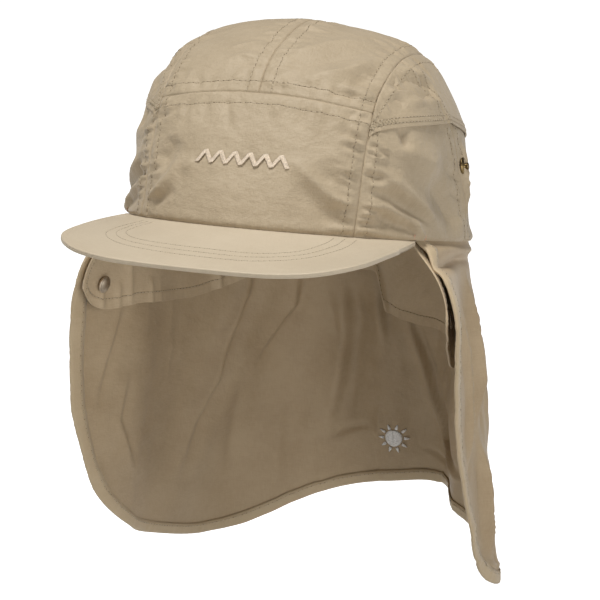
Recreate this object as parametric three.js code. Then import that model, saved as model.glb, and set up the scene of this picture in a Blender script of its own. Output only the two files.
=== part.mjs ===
// Legionnaire cap: strip-topped crown, stiff peak, long neck flap and a short inner skirt with snaps.
// Millimetres, +Z up. The wearer looks along -Y, so +X is the wearer's left.
// The origin is the centre of the rim, where the cap sits on a head. The rim leans back by WEAR_TILT.

import * as THREE from 'three';

// Crown
const HEAD_WIDTH = 168;
const HEAD_LENGTH = 206;
const CROWN_HEIGHT = 102;
const WEAR_TILT = 14.5;
const CROWN_WALL = 1.5;
const STRIP_WIDTH = 105;
const FRONT_PANEL_HEIGHT = 62;
const FRONT_CORNER_DROP = 5.5;
const BACK_PANEL_HEIGHT = 56;
const SIDE_SEAM_TOP_ANGLE = 72;
const SIDE_SEAM_FOOT = 5;
const YOKE_WALL = 1.2;
const YOKE_EDGE_HEIGHT = 45;
const YOKE_EDGE_RISE = 11;
const GAP = 0.3;
const NESTED_GAP = 0.5;
const SKIRT_GAP = 1.2;

// Peak
const PEAK_LENGTH = 46;
const PEAK_WIDTH = 155;
const PEAK_WALL = 2.3;
const PEAK_SLOPE = 22;
const PEAK_ARCH = -0.24;
const PEAK_ANGLE = 61;

// Neck flap and its edge strip
const FLAP_LENGTH = 190;
const FLAP_WALL = 1.2;
const FLAP_ANGLE = 63;
const FLAP_TUCK = 5;
const BINDING_WIDTH = 7;
const BINDING_WALL = 2.2;

// Inner skirt
const SKIRT_LENGTH = 56;
const SKIRT_WALL = 1.2;
const SKIRT_ANGLE = 62;
const SKIRT_LEAN = 0.08;

// Fasteners
const SNAP_DIAMETER = 8.6;
const SNAP_HEIGHT = 2.2;
const SOCKET_HEIGHT = 1.3;
const SNAP_ANGLE = 68;
const SNAP_DROP = 33.5;
const STUD_DIAMETER = 9.4;
const STUD_HEIGHT = 3.2;
const STUD_POST_DIAMETER = 3.6;
const STUD_BACKSET = 1.5;
const STUD_LIFT = 36;

const HALF_WIDTH = HEAD_WIDTH / 2;
const HALF_LENGTH = HEAD_LENGTH / 2;
const SEAM = STRIP_WIDTH / 2;
const TILT = THREE.MathUtils.degToRad(WEAR_TILT);

// Level sections of the crown from the rim up. height is a share of CROWN_HEIGHT, side of HALF_WIDTH,
// front and back of HALF_LENGTH. square is the power of the front half's curve, 2 for an ellipse.
const CROWN_SECTIONS = [
  { height: 0.00, side: 1.000, front: 1.000, back: 1.000, square: 2.0 },
  { height: 0.15, side: 0.962, front: 0.960, back: 0.945, square: 2.1 },
  { height: 0.30, side: 0.938, front: 0.905, back: 0.890, square: 2.3 },
  { height: 0.50, side: 0.900, front: 0.815, back: 0.830, square: 2.6 },
  { height: 0.60, side: 0.865, front: 0.763, back: 0.785, square: 2.7 },
  { height: 0.70, side: 0.800, front: 0.705, back: 0.720, square: 2.5 },
  { height: 0.80, side: 0.715, front: 0.600, back: 0.620, square: 2.3 },
  { height: 0.88, side: 0.605, front: 0.455, back: 0.505, square: 2.2 },
  { height: 0.94, side: 0.465, front: 0.320, back: 0.365, square: 2.1 },
  { height: 0.98, side: 0.285, front: 0.190, back: 0.205, square: 2.0 },
  { height: 1.00, side: 0.000, front: 0.040, back: -0.040, square: 2.0 },
];

// Free edge of the peak from its middle to a tip. across is a share of half PEAK_WIDTH, and forward
// is a share of the way from the tips to the foremost point.
const PEAK_OUTLINE = [
  { step: 0, across: 0.00, forward: 1.000 },
  { step: 1, across: 0.27, forward: 0.994 },
  { step: 2, across: 0.54, forward: 0.975 },
  { step: 3, across: 0.77, forward: 0.910 },
  { step: 4, across: 0.92, forward: 0.750 },
  { step: 5, across: 0.96, forward: 0.480 },
  { step: 6, across: 0.965, forward: 0.220 },
  { step: 7, across: 0.948, forward: 0.000 },
];

// How far the hanging flap stands out of the rim. drop is a share of FLAP_LENGTH, side of HALF_WIDTH,
// back of HALF_LENGTH.
const FLAP_FLARE = [
  { drop: 0.00, side: 0.00, back: 0.00 },
  { drop: 0.08, side: 0.01, back: 0.02 },
  { drop: 0.20, side: 0.03, back: 0.05 },
  { drop: 0.40, side: 0.07, back: 0.11 },
  { drop: 0.70, side: 0.15, back: 0.18 },
  { drop: 1.00, side: 0.21, back: 0.23 },
];

// How far the flap's front edges stand further out, left and right as shares of HALF_WIDTH, and how
// far forward they reach, as shares of HALF_LENGTH.
const FLAP_CHEEKS = [
  { drop: 0.00, left: 0.00, right: 0.00, leftReach: 0.00, rightReach: 0.00 },
  { drop: 0.08, left: 0.21, right: 0.17, leftReach: 0.12, rightReach: 0.17 },
  { drop: 0.20, left: 0.28, right: 0.26, leftReach: 0.17, rightReach: 0.19 },
  { drop: 0.40, left: 0.24, right: 0.29, leftReach: 0.15, rightReach: 0.15 },
  { drop: 0.70, left: 0.22, right: 0.21, leftReach: 0.13, rightReach: 0.13 },
  { drop: 1.00, left: 0.16, right: 0.14, leftReach: 0.12, rightReach: 0.12 },
];

// Lower edge of the flap. angle runs from the front in degrees; left and right are the drop on that
// side as shares of FLAP_LENGTH. It hangs a little unevenly: the back is lifted on the left.
const FLAP_EDGE = [
  { angle: 63.0, left: 0.520, right: 0.535 },
  { angle: 65.5, left: 0.625, right: 0.675 },
  { angle: 70.0, left: 0.715, right: 0.780 },
  { angle: 78.0, left: 0.830, right: 0.870 },
  { angle: 86.0, left: 0.910, right: 0.920 },
  { angle: 94.0, left: 0.955, right: 0.955 },
  { angle: 108.0, left: 0.975, right: 0.990 },
  { angle: 122.0, left: 0.880, right: 1.018 },
  { angle: 135.0, left: 0.820, right: 1.006 },
  { angle: 150.0, left: 0.800, right: 0.935 },
  { angle: 165.0, left: 0.797, right: 0.870 },
  { angle: 180.0, left: 0.828, right: 0.828 },
];

// Soft upright folds of the flap. angle is signed (left is positive), out is a share of FLAP_LENGTH,
// width is in degrees, from and to are shares of FLAP_LENGTH, lean is degrees over the whole length.
const FLAP_FOLDS = [
  { angle: 96, out: 0.016, width: 9, from: 0.15, to: 1.10, lean: 4 },
  { angle: 122, out: -0.055, width: 12, from: 0.20, to: 1.10, lean: 16 },
  { angle: 150, out: 0.034, width: 13, from: 0.15, to: 1.10, lean: 8 },
  { angle: 176, out: -0.030, width: 10, from: 0.05, to: 1.00, lean: -10 },
  { angle: -164, out: 0.028, width: 11, from: 0.10, to: 1.10, lean: 36 },
  { angle: -149, out: -0.026, width: 9, from: 0.10, to: 1.00, lean: 45 },
  { angle: -122, out: 0.016, width: 13, from: 0.25, to: 1.10, lean: 18 },
  { angle: -88, out: -0.012, width: 11, from: 0.30, to: 1.10, lean: 5 },
];

// Lower edge of the inner skirt, deepest beside the ears; left and right are shares of SKIRT_LENGTH.
// A pleat at the back left takes the edge up in one step.
const SKIRT_EDGE = [
  { angle: 62.0, left: 0.58, right: 0.62 },
  { angle: 65.0, left: 0.70, right: 0.78 },
  { angle: 70.0, left: 0.80, right: 0.85 },
  { angle: 80.0, left: 0.97, right: 0.84 },
  { angle: 93.0, left: 1.18, right: 0.85 },
  { angle: 110.0, left: 1.12, right: 0.82 },
  { angle: 125.0, left: 1.02, right: 0.71 },
  { angle: 140.0, left: 0.96, right: 0.56 },
  { angle: 155.0, left: 0.95, right: 0.52 },
  { angle: 168.5, left: 0.84, right: 0.48 },
  { angle: 172.5, left: 0.50, right: 0.46 },
  { angle: 180.0, left: 0.45, right: 0.45 },
];

// Soft swellings and hollows of the crown in the rim's frame. x is measured in HALF_WIDTH, y in
// HALF_LENGTH, z in CROWN_HEIGHT, and radius and rise in CROWN_HEIGHT.
const CROWN_SWELLS = [
  { x: -0.66, y: -0.12, z: 0.84, radius: 0.34, rise: 0.032 },
  { x: -0.80, y: -0.30, z: 0.62, radius: 0.22, rise: 0.012 },
  { x: 0.15, y: 0.22, z: 0.97, radius: 0.36, rise: -0.016 },
  { x: 0.78, y: 0.45, z: 0.10, radius: 0.28, rise: -0.014 },
];

const CLOTH = new THREE.MeshStandardMaterial({ color: 0xb09c7a, roughness: 0.88, metalness: 0 });
const PALE_CLOTH = new THREE.MeshStandardMaterial({ color: 0xd3c3a8, roughness: 0.85, metalness: 0 });
const SHADED_CLOTH = new THREE.MeshStandardMaterial({ color: 0x8f7b5c, roughness: 0.9, metalness: 0 });
const SNAP_METAL = new THREE.MeshStandardMaterial({ color: 0x7d7263, roughness: 0.4, metalness: 0.8 });
const STUD_METAL = new THREE.MeshStandardMaterial({ color: 0x8a7140, roughness: 0.35, metalness: 0.9 });

const radians = (degrees) => THREE.MathUtils.degToRad(degrees);
const vector = (x, y, z) => new THREE.Vector3(x, y, z);
const mix = (from, to, share) => from + (to - from) * share;

// Smooth curve through the rows of a table, read at one value of its key column.
function readTable(rows, key, value) {
  const last = rows.length - 1;
  const forward = rows[last][key] > rows[0][key];
  const inside = Math.min(Math.max(value, Math.min(rows[0][key], rows[last][key])),
    Math.max(rows[0][key], rows[last][key]));
  let index = 0;
  while (index < last - 1 && (forward ? rows[index + 1][key] < inside : rows[index + 1][key] > inside)) {
    index += 1;
  }
  const span = rows[index + 1][key] - rows[index][key];
  const t = (inside - rows[index][key]) / span;
  const result = {};
  for (const column of Object.keys(rows[0])) {
    const slope = (at) => {
      const before = rows[Math.max(at - 1, 0)];
      const after = rows[Math.min(at + 1, last)];
      return (after[column] - before[column]) / (after[key] - before[key]);
    };
    result[column] = rows[index][column] * (2 * t ** 3 - 3 * t ** 2 + 1)
      + slope(index) * span * (t ** 3 - 2 * t ** 2 + t)
      + rows[index + 1][column] * (3 * t ** 2 - 2 * t ** 3)
      + slope(index + 1) * span * (t ** 3 - t ** 2);
  }
  return result;
}

// The sections shrink to a point at the top, so the table is read by the root of the height left.
const SECTIONS_BY_ROOT = CROWN_SECTIONS.map((row) => ({ ...row, root: Math.sqrt(1 - row.height) }));

function crownSection(z) {
  const left = Math.min(Math.max(1 - z / CROWN_HEIGHT, 0), 1);
  const row = readTable(SECTIONS_BY_ROOT, 'root', Math.sqrt(left));
  return {
    halfWidth: Math.max(row.side * HALF_WIDTH, 1e-3),
    middle: (row.back - row.front) * HALF_LENGTH / 2,
    halfLength: Math.max((row.back + row.front) * HALF_LENGTH / 2, 1e-3),
    square: row.square,
  };
}

// Zero on the crown's outside, positive outside it.
function crownField(x, y, z) {
  if (z >= CROWN_HEIGHT) {
    return 1 + (z - CROWN_HEIGHT) / CROWN_HEIGHT;
  }
  const section = crownSection(z);
  const power = y < section.middle ? section.square : 2;
  const across = Math.abs(x) / section.halfWidth;
  const along = Math.abs(y - section.middle) / section.halfLength;
  return (across ** power + along ** power) ** (1 / power) - 1;
}

function crownNormal(point) {
  const step = 0.05;
  const { x, y } = point;
  const z = Math.min(point.z, CROWN_HEIGHT - 2 * step);
  const normal = vector(
    crownField(x + step, y, z) - crownField(x - step, y, z),
    crownField(x, y + step, z) - crownField(x, y - step, z),
    crownField(x, y, z + step) - crownField(x, y, Math.max(z - step, 0)),
  );
  if (point.z < 1) {
    normal.z = 0;
  }
  return normal.normalize();
}

// How far the cloth stands off the crown's plain shape. Nothing moves on the rim itself.
function swellAt(point) {
  let rise = 0;
  for (const swell of CROWN_SWELLS) {
    const centre = vector(swell.x * HALF_WIDTH, swell.y * HALF_LENGTH, swell.z * CROWN_HEIGHT);
    const away = centre.distanceTo(point) / (swell.radius * CROWN_HEIGHT);
    rise += swell.rise * Math.exp(-(away ** 2));
  }
  return rise * CROWN_HEIGHT * THREE.MathUtils.smoothstep(point.z, 0, CROWN_HEIGHT * 0.1);
}

// Point of the crown at a given x and height, on the front (-1) or the back (+1).
function crownFrontBack(x, z, facing) {
  const section = crownSection(z);
  const power = facing < 0 ? section.square : 2;
  const across = Math.min(Math.abs(x) / section.halfWidth, 1);
  const along = (1 - across ** power) ** (1 / power);
  return vector(x, section.middle + facing * section.halfLength * along, z);
}

// Point of the crown at a given y and height, on the left (+1) or the right (-1).
function crownSide(y, z, side) {
  const section = crownSection(z);
  const power = y < section.middle ? section.square : 2;
  const along = Math.min(Math.abs(y - section.middle) / section.halfLength, 1);
  return vector(side * section.halfWidth * (1 - along ** power) ** (1 / power), y, z);
}

// Point of the crown at a given x, seen from the middle of the rim at an angle from the front.
function crownOver(x, angle) {
  let near = 1;
  let far = HALF_LENGTH * 1.5;
  for (let i = 0; i < 40; i += 1) {
    const middle = (near + far) / 2;
    if (crownField(x, -middle * Math.cos(angle), middle * Math.sin(angle)) > 0) {
      far = middle;
    } else {
      near = middle;
    }
  }
  return vector(x, -near * Math.cos(angle), near * Math.sin(angle));
}

const angleOf = (point) => Math.atan2(point.z, -point.y);

// Point on a level section of the crown at an angle from the front, moved in by an inset.
function crownRing(angle, z, inset) {
  const section = crownSection(z);
  const power = Math.cos(angle) > 0 ? section.square : 2;
  const across = Math.abs(Math.sin(angle));
  const along = Math.abs(Math.cos(angle));
  const size = (across ** power + along ** power) ** (-1 / power);
  const point = vector(
    section.halfWidth * Math.sin(angle) * size,
    section.middle - section.halfLength * Math.cos(angle) * size,
    z,
  );
  const normal = crownNormal(point).setZ(0).normalize();
  return point.addScaledVector(normal, -inset);
}

// A rim-frame point where the worn cap has it.
const worn = (point) => point.clone().applyAxisAngle(vector(1, 0, 0), -TILT);

// Closed solid between two grids of points with the same rows and columns.
function solidBetween(outer, inner) {
  const rows = outer.length;
  const columns = outer[0].length;
  const positions = [...outer.flat(), ...inner.flat()].flatMap((point) => [point.x, point.y, point.z]);
  const top = (i, j) => i * columns + j;
  const under = (i, j) => rows * columns + i * columns + j;
  const indices = [];
  const quad = (a, b, c, d) => indices.push(a, b, c, a, c, d);
  for (let i = 0; i < rows - 1; i += 1) {
    for (let j = 0; j < columns - 1; j += 1) {
      quad(top(i, j), top(i, j + 1), top(i + 1, j + 1), top(i + 1, j));
      quad(under(i, j), under(i + 1, j), under(i + 1, j + 1), under(i, j + 1));
    }
  }
  for (let j = 0; j < columns - 1; j += 1) {
    quad(top(0, j), under(0, j), under(0, j + 1), top(0, j + 1));
    quad(top(rows - 1, j + 1), under(rows - 1, j + 1), under(rows - 1, j), top(rows - 1, j));
  }
  for (let i = 0; i < rows - 1; i += 1) {
    quad(top(i + 1, 0), under(i + 1, 0), under(i, 0), top(i, 0));
    quad(top(i, columns - 1), under(i, columns - 1), under(i + 1, columns - 1), top(i + 1, columns - 1));
  }
  const geometry = new THREE.BufferGeometry();
  geometry.setAttribute('position', new THREE.Float32BufferAttribute(positions, 3));
  geometry.setIndex(volumeOf(positions, indices) < 0 ? indices.reverse() : indices);
  return geometry;
}

function volumeOf(positions, indices) {
  const corner = (index) => vector(positions[3 * index], positions[3 * index + 1], positions[3 * index + 2]);
  let volume = 0;
  for (let i = 0; i < indices.length; i += 3) {
    const [a, b, c] = [corner(indices[i]), corner(indices[i + 1]), corner(indices[i + 2])];
    volume += a.dot(b.cross(c)) / 6;
  }
  return volume;
}

// Grid of points made from a function of two shares.
function grid(rows, columns, at) {
  return Array.from({ length: rows + 1 }, (_, i) => (
    Array.from({ length: columns + 1 }, (_, j) => at(i / rows, j / columns))
  ));
}

function named(name, geometry, material) {
  const mesh = new THREE.Mesh(geometry, material);
  mesh.name = name;
  geometry.computeVertexNormals();
  return mesh;
}

// Draws the border of a grid in by half a seam gap, within the surface.
function drawIn(points, gap) {
  const rows = points.length;
  const columns = points[0].length;
  const moved = points.map((row) => row.map((point) => point.clone()));
  const pull = (i, j, towardI, towardJ) => {
    const way = points[towardI][towardJ].clone().sub(points[i][j]).normalize();
    moved[i][j].addScaledVector(way, gap);
  };
  for (let j = 0; j < columns; j += 1) {
    pull(0, j, 1, j);
    pull(rows - 1, j, rows - 2, j);
  }
  for (let i = 0; i < rows; i += 1) {
    pull(i, 0, i, 1);
    pull(i, columns - 1, i, columns - 2);
  }
  return moved;
}

// Crown panel of a given wall whose outside lies a given height above the crown's surface.
function crownPanel(name, points, lift, wall, material = CLOTH) {
  const drawn = drawIn(points, GAP * 0.7);
  for (const row of drawn) {
    for (const point of row) {
      point.z = Math.max(point.z, 0);
    }
  }
  const offset = (amount) => drawn.map((row) => row.map((point) => (
    point.clone().addScaledVector(crownNormal(point), amount + swellAt(point))
  )));
  return named(name, solidBetween(offset(lift), offset(lift - wall)), material);
}

// Height of the seam that closes the front panel at its top, a little lower at its corners.
const frontSeamHeight = (x) => FRONT_PANEL_HEIGHT - FRONT_CORNER_DROP * (x / SEAM) ** 2;
const backSeamHeight = (x) => BACK_PANEL_HEIGHT - FRONT_CORNER_DROP * (x / SEAM) ** 2;

function frontPanel() {
  const points = grid(7, 12, (up, across) => {
    const x = mix(-SEAM, SEAM, across);
    return crownFrontBack(x, up * frontSeamHeight(x), -1);
  });
  return crownPanel('crown_front_panel', points, 0, CROWN_WALL);
}

function backPanel() {
  const points = grid(7, 12, (up, across) => {
    const x = mix(-SEAM, SEAM, across);
    return crownFrontBack(x, up * backSeamHeight(x), 1);
  });
  return crownPanel('crown_back_panel', points, 0, CROWN_WALL);
}

function topAngles(x) {
  return [
    angleOf(crownFrontBack(x, frontSeamHeight(x), -1)),
    angleOf(crownFrontBack(x, backSeamHeight(x), 1)),
  ];
}

const SIDE_SEAM_ANGLE = radians(SIDE_SEAM_TOP_ANGLE);
const TOP_STEPS = { front: 7, rear: 10 };

// Steps over the head are shared by the strips and the side panels, so that their seams match.
function overAngle(step, x) {
  const [front, back] = topAngles(x);
  if (step <= TOP_STEPS.front) {
    return mix(front, SIDE_SEAM_ANGLE, step / TOP_STEPS.front);
  }
  return mix(SIDE_SEAM_ANGLE, back, (step - TOP_STEPS.front) / TOP_STEPS.rear);
}

function topStrip(name, side) {
  const steps = TOP_STEPS.front + TOP_STEPS.rear;
  const points = grid(steps, 6, (over, across) => {
    const x = across * SEAM;
    const point = crownOver(x, overAngle(Math.round(over * steps), x));
    point.x *= side;
    return point;
  });
  return crownPanel(name, points, 0, CROWN_WALL);
}

// Upright seam between the two side panels: foot on the rim, top on the strip's seam.
function sideSeamAt(up, side) {
  const top = crownOver(SEAM, SIDE_SEAM_ANGLE);
  const z = up * top.z;
  return crownSide(mix(SIDE_SEAM_FOOT, top.y, up ** 1.5), z, side);
}

// Blend of four border curves, each a function of one share, for the y and z of a side panel.
function blendBorders(borders, across, up) {
  const { foot, head, front, rear } = borders;
  const [a, b, c, d] = [foot(across), head(across), front(up), rear(up)];
  const blend = (axis) => (
    mix(a[axis], b[axis], up) + mix(c[axis], d[axis], across)
    - mix(mix(foot(0)[axis], foot(1)[axis], across), mix(head(0)[axis], head(1)[axis], across), up)
  );
  return vector(blend('x'), blend('y'), blend('z'));
}

function frontSideBorders(side) {
  const corner = crownFrontBack(SEAM, 0, -1);
  const seamTop = frontSeamHeight(SEAM);
  return {
    foot: (share) => crownSide(mix(corner.y, SIDE_SEAM_FOOT, share), 0, side),
    head: (share) => mirror(crownOver(SEAM, mix(topAngles(SEAM)[0], SIDE_SEAM_ANGLE, share)), side),
    front: (up) => mirror(crownFrontBack(SEAM, up * seamTop, -1), side),
    rear: (up) => sideSeamAt(up, side),
  };
}

function rearSideBorders(side) {
  const corner = crownFrontBack(SEAM, 0, 1);
  const seamTop = backSeamHeight(SEAM);
  return {
    foot: (share) => crownSide(mix(SIDE_SEAM_FOOT, corner.y, share), 0, side),
    head: (share) => mirror(crownOver(SEAM, mix(SIDE_SEAM_ANGLE, topAngles(SEAM)[1], share)), side),
    front: (up) => sideSeamAt(up, side),
    rear: (up) => mirror(crownFrontBack(SEAM, up * seamTop, 1), side),
  };
}

const mirror = (point, side) => vector(side * point.x, point.y, point.z);

// Moves a point near the crown straight out or in until it lies on the crown.
function ontoCrown(point) {
  const centre = vector(0, 0, CROWN_HEIGHT * 0.3);
  const way = point.clone().sub(centre);
  let near = 0.3;
  let far = 2;
  for (let i = 0; i < 40; i += 1) {
    const middle = (near + far) / 2;
    const tried = centre.clone().addScaledVector(way, middle);
    if (crownField(tried.x, tried.y, Math.max(tried.z, 0)) > 0) {
      far = middle;
    } else {
      near = middle;
    }
  }
  return centre.addScaledVector(way, near);
}

function sidePanelPoint(borders, across, up) {
  const point = blendBorders(borders, across, up);
  const onBorder = across === 0 || across === 1 || up === 0 || up === 1;
  return onBorder ? point : ontoCrown(point);
}

function sidePanel(name, borders, steps) {
  const points = grid(9, steps, (up, across) => sidePanelPoint(borders, across, up));
  return crownPanel(name, points, 0, CROWN_WALL);
}

// The yoke is a second layer over the upper part of both side panels. Its free lower edge rises
// from the front seam to the side seam and stays level behind it.
function yokePoint(across, up, side) {
  const seamShare = TOP_STEPS.front / (TOP_STEPS.front + TOP_STEPS.rear);
  const isFront = across <= seamShare;
  const local = isFront ? across / seamShare : (across - seamShare) / (1 - seamShare);
  const borders = isFront ? frontSideBorders(side) : rearSideBorders(side);
  const edgeHeight = YOKE_EDGE_HEIGHT + YOKE_EDGE_RISE * (isFront ? Math.sqrt(local) : 1 - local);
  let low = 0;
  let high = 1;
  for (let i = 0; i < 24; i += 1) {
    const middle = (low + high) / 2;
    if (sidePanelPoint(borders, local, middle).z > edgeHeight) {
      high = middle;
    } else {
      low = middle;
    }
  }
  return sidePanelPoint(borders, local, mix(low, 1, up));
}

function yoke(name, side) {
  const steps = TOP_STEPS.front + TOP_STEPS.rear;
  const points = grid(5, steps, (up, across) => yokePoint(across, up, side));
  return crownPanel(name, points, GAP + YOKE_WALL, YOKE_WALL);
}

// Distance forward of the rim, measured by the rim's own ellipse.
function beyondRim(x, y) {
  const reach = Math.hypot(x / HALF_WIDTH, y / HALF_LENGTH) - 1;
  return Math.max(reach, 0) * (HALF_WIDTH + HALF_LENGTH) / 2;
}

function peakHeight(x, y) {
  const beyond = beyondRim(x, y);
  const arch = PEAK_ARCH * (2 * x / PEAK_WIDTH) ** 2;
  return -GAP - beyond * (Math.tan(radians(PEAK_SLOPE)) + arch);
}

// Point of the peak: along runs from tip to tip, out from the seam to the free edge.
function peakPoint(along, out) {
  const sweep = radians(PEAK_ANGLE) * (2 * along - 1);
  const seam = crownRing(sweep, 0, CROWN_WALL);
  const tip = crownRing(radians(PEAK_ANGLE), 0, 0);
  const step = Math.abs(2 * along - 1) * (PEAK_OUTLINE.length - 1);
  const edge = readTable(PEAK_OUTLINE, 'step', step);
  const x = Math.sign(sweep) * edge.across * PEAK_WIDTH / 2;
  const y = mix(tip.y, -HALF_LENGTH - PEAK_LENGTH, edge.forward);
  const point = vector(mix(seam.x, x, out), mix(seam.y, y, out), 0);
  point.z = peakHeight(point.x, point.y);
  return point;
}

function peak() {
  const top = grid(32, 6, (along, out) => peakPoint(along, out));
  const under = top.map((row) => row.map((point) => vector(point.x, point.y, point.z - PEAK_WALL)));
  return named('peak', solidBetween(top, under), PALE_CLOTH);
}

// An angle in degrees brought between -180 and 180; positive is the wearer's left.
const wrapped = (degrees) => THREE.MathUtils.euclideanModulo(degrees + 180, 360) - 180;

// Share of the cheek's push: full on the front edges, none from the ears back.
const cheekShare = (angle) => Math.max(Math.cos(angle) / Math.cos(radians(FLAP_ANGLE)), 0) ** 1.5;

function foldOut(angle, drop) {
  const degrees = THREE.MathUtils.radToDeg(angle);
  const share = drop / FLAP_LENGTH;
  let out = 0;
  for (const fold of FLAP_FOLDS) {
    const centre = fold.angle + fold.lean * share;
    const away = wrapped(degrees - centre);
    const begun = THREE.MathUtils.smoothstep(share, fold.from, fold.from + 0.35);
    const ended = 1 - THREE.MathUtils.smoothstep(share, fold.to - 0.15, fold.to + 0.15);
    out += fold.out * begun * ended * Math.exp(-((away / fold.width) ** 2));
  }
  return out * FLAP_LENGTH;
}

// Point of a hanging cloth at an angle from the front and a drop below the rim. A negative drop is
// tucked up inside the crown. inset is its distance inside the crown's outer surface.
function hangingPoint(angle, drop, inset, folds) {
  if (drop <= 0) {
    return worn(crownRing(angle, -drop, inset));
  }
  const start = worn(crownRing(angle, 0, inset));
  const flare = readTable(FLAP_FLARE, 'drop', drop / FLAP_LENGTH);
  const cheeks = readTable(FLAP_CHEEKS, 'drop', drop / FLAP_LENGTH);
  const cheek = cheekShare(angle);
  const sine = Math.sin(angle);
  const cosine = Math.cos(angle);
  const cheekPush = cheek * (sine > 0 ? cheeks.left : cheeks.right);
  const forwardPush = cheek * (sine > 0 ? cheeks.leftReach : cheeks.rightReach);
  start.x += HALF_WIDTH * (flare.side * sine + cheekPush * Math.sign(sine));
  start.y -= HALF_LENGTH * (flare.back * Math.min(cosine, 0) + forwardPush);
  start.z -= drop;
  const out = folds * foldOut(angle, drop);
  start.x += out * sine;
  start.y -= out * cosine;
  return start;
}

const FLAP_INSET = CROWN_WALL + NESTED_GAP + (BINDING_WALL - FLAP_WALL) / 2;
const SKIRT_INSET = FLAP_INSET + BINDING_WALL / 2 + FLAP_WALL / 2 + SKIRT_GAP;
const CLOTH_REACH = (HALF_WIDTH + HALF_LENGTH) / 2;

const flapPoint = (place) => hangingPoint(place.angle, place.drop, FLAP_INSET, 1);

// The skirt hangs inside the flap and leans away from it as it goes down.
function skirtPoint(place) {
  const lean = Math.max(place.drop, 0) * SKIRT_LEAN;
  return hangingPoint(place.angle, place.drop, SKIRT_INSET + lean, 0);
}

// Outward normal of a hanging cloth, from its own points close by.
function clothNormal(pointAt, place) {
  const turn = 0.01;
  const fall = 0.5;
  const around = pointAt({ angle: place.angle + turn, drop: place.drop })
    .sub(pointAt({ angle: place.angle - turn, drop: place.drop }));
  const down = pointAt({ angle: place.angle, drop: place.drop + fall })
    .sub(pointAt({ angle: place.angle, drop: place.drop - fall }));
  return down.cross(around).normalize();
}

function clothSolid(name, places, pointAt, lift, wall, material) {
  const offset = (amount) => places.map((row) => row.map((place) => (
    pointAt(place).addScaledVector(clothNormal(pointAt, place), amount)
  )));
  return named(name, solidBetween(offset(lift), offset(lift - wall)), material);
}

// The flap is laid out flat as arc round the head and drop, both in millimetres.
const flat = (angle, drop) => new THREE.Vector2(angle * CLOTH_REACH, drop);
const placeOf = (spot) => ({ angle: spot.x / CLOTH_REACH, drop: spot.y });

function flapEdgeDrop(angle) {
  const degrees = wrapped(THREE.MathUtils.radToDeg(angle));
  const row = readTable(FLAP_EDGE, 'angle', Math.max(Math.abs(degrees), FLAP_ANGLE));
  return FLAP_LENGTH * (degrees > 0 ? row.left : row.right);
}

// Points evenly spaced along a flat curve.
function evenly(curve, steps) {
  const lengths = [0];
  for (let i = 1; i < curve.length; i += 1) {
    lengths.push(lengths[i - 1] + curve[i].distanceTo(curve[i - 1]));
  }
  const total = lengths[lengths.length - 1];
  return Array.from({ length: steps + 1 }, (_, step) => {
    const wanted = total * step / steps;
    let index = 1;
    while (index < curve.length - 1 && lengths[index] < wanted) {
      index += 1;
    }
    const share = (wanted - lengths[index - 1]) / (lengths[index] - lengths[index - 1]);
    return curve[index - 1].clone().lerp(curve[index], Math.min(Math.max(share, 0), 1));
  });
}

const FLAP_STEPS = { side: 10, foot: 48 };
const EDGE_SAMPLES = { flap: 400, skirt: 200 };

// The flap's free edge on the flat, in three runs: left front edge, lower edge, right front edge.
function flapEdge() {
  const start = radians(FLAP_ANGLE);
  const end = 2 * Math.PI - start;
  const foot = Array.from({ length: EDGE_SAMPLES.flap + 1 }, (_, i) => {
    const angle = mix(start, end, i / EDGE_SAMPLES.flap);
    return flat(angle, flapEdgeDrop(angle));
  });
  const side = (angle) => evenly([flat(angle, 0), flat(angle, flapEdgeDrop(angle))], FLAP_STEPS.side);
  return { left: side(start), foot: evenly(foot, FLAP_STEPS.foot), right: side(end) };
}

// The whole free edge as one run, moved in by a distance on the flat.
function edgeMovedIn(distance) {
  const { left, foot, right } = flapEdge();
  const run = [...left, ...foot.slice(1), ...right.slice(0, -1).reverse()];
  return run.map((spot, i) => {
    const before = run[Math.max(i - 1, 0)];
    const after = run[Math.min(i + 1, run.length - 1)];
    const along = after.clone().sub(before).normalize();
    return new THREE.Vector2(spot.x + along.y * distance, spot.y - along.x * distance);
  });
}

// The same place round the head, up inside the crown.
const tucked = (place) => ({ angle: place.angle, drop: -FLAP_TUCK });

function neckFlap() {
  const run = edgeMovedIn(BINDING_WIDTH + GAP);
  const left = run.slice(0, FLAP_STEPS.side + 1);
  const foot = run.slice(FLAP_STEPS.side, FLAP_STEPS.side + FLAP_STEPS.foot + 1);
  const right = run.slice(FLAP_STEPS.side + FLAP_STEPS.foot).reverse();
  const head = (share) => left[0].clone().lerp(right[0], share);
  const places = grid(FLAP_STEPS.side, FLAP_STEPS.foot, (down, around) => {
    const i = Math.round(down * FLAP_STEPS.side);
    const j = Math.round(around * FLAP_STEPS.foot);
    const upright = head(around).lerp(foot[j], down);
    const level = left[i].clone().lerp(right[i], around);
    const corners = head(around).lerp(foot[0].clone().lerp(foot[FLAP_STEPS.foot], around), down);
    return placeOf(upright.add(level).sub(corners));
  });
  places.unshift(places[0].map(tucked));
  return clothSolid('neck_flap', places, flapPoint, 0, FLAP_WALL, CLOTH);
}

function flapBinding() {
  const outer = edgeMovedIn(0);
  const inner = edgeMovedIn(BINDING_WIDTH);
  const places = grid(1, outer.length - 1, (across, along) => {
    const i = Math.round(along * (outer.length - 1));
    return placeOf(across ? inner[i] : outer[i]);
  }).map((row) => [tucked(row[0]), ...row, tucked(row[row.length - 1])]);
  const proud = (BINDING_WALL - FLAP_WALL) / 2;
  return clothSolid('flap_binding', places, flapPoint, proud, BINDING_WALL, CLOTH);
}

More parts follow.
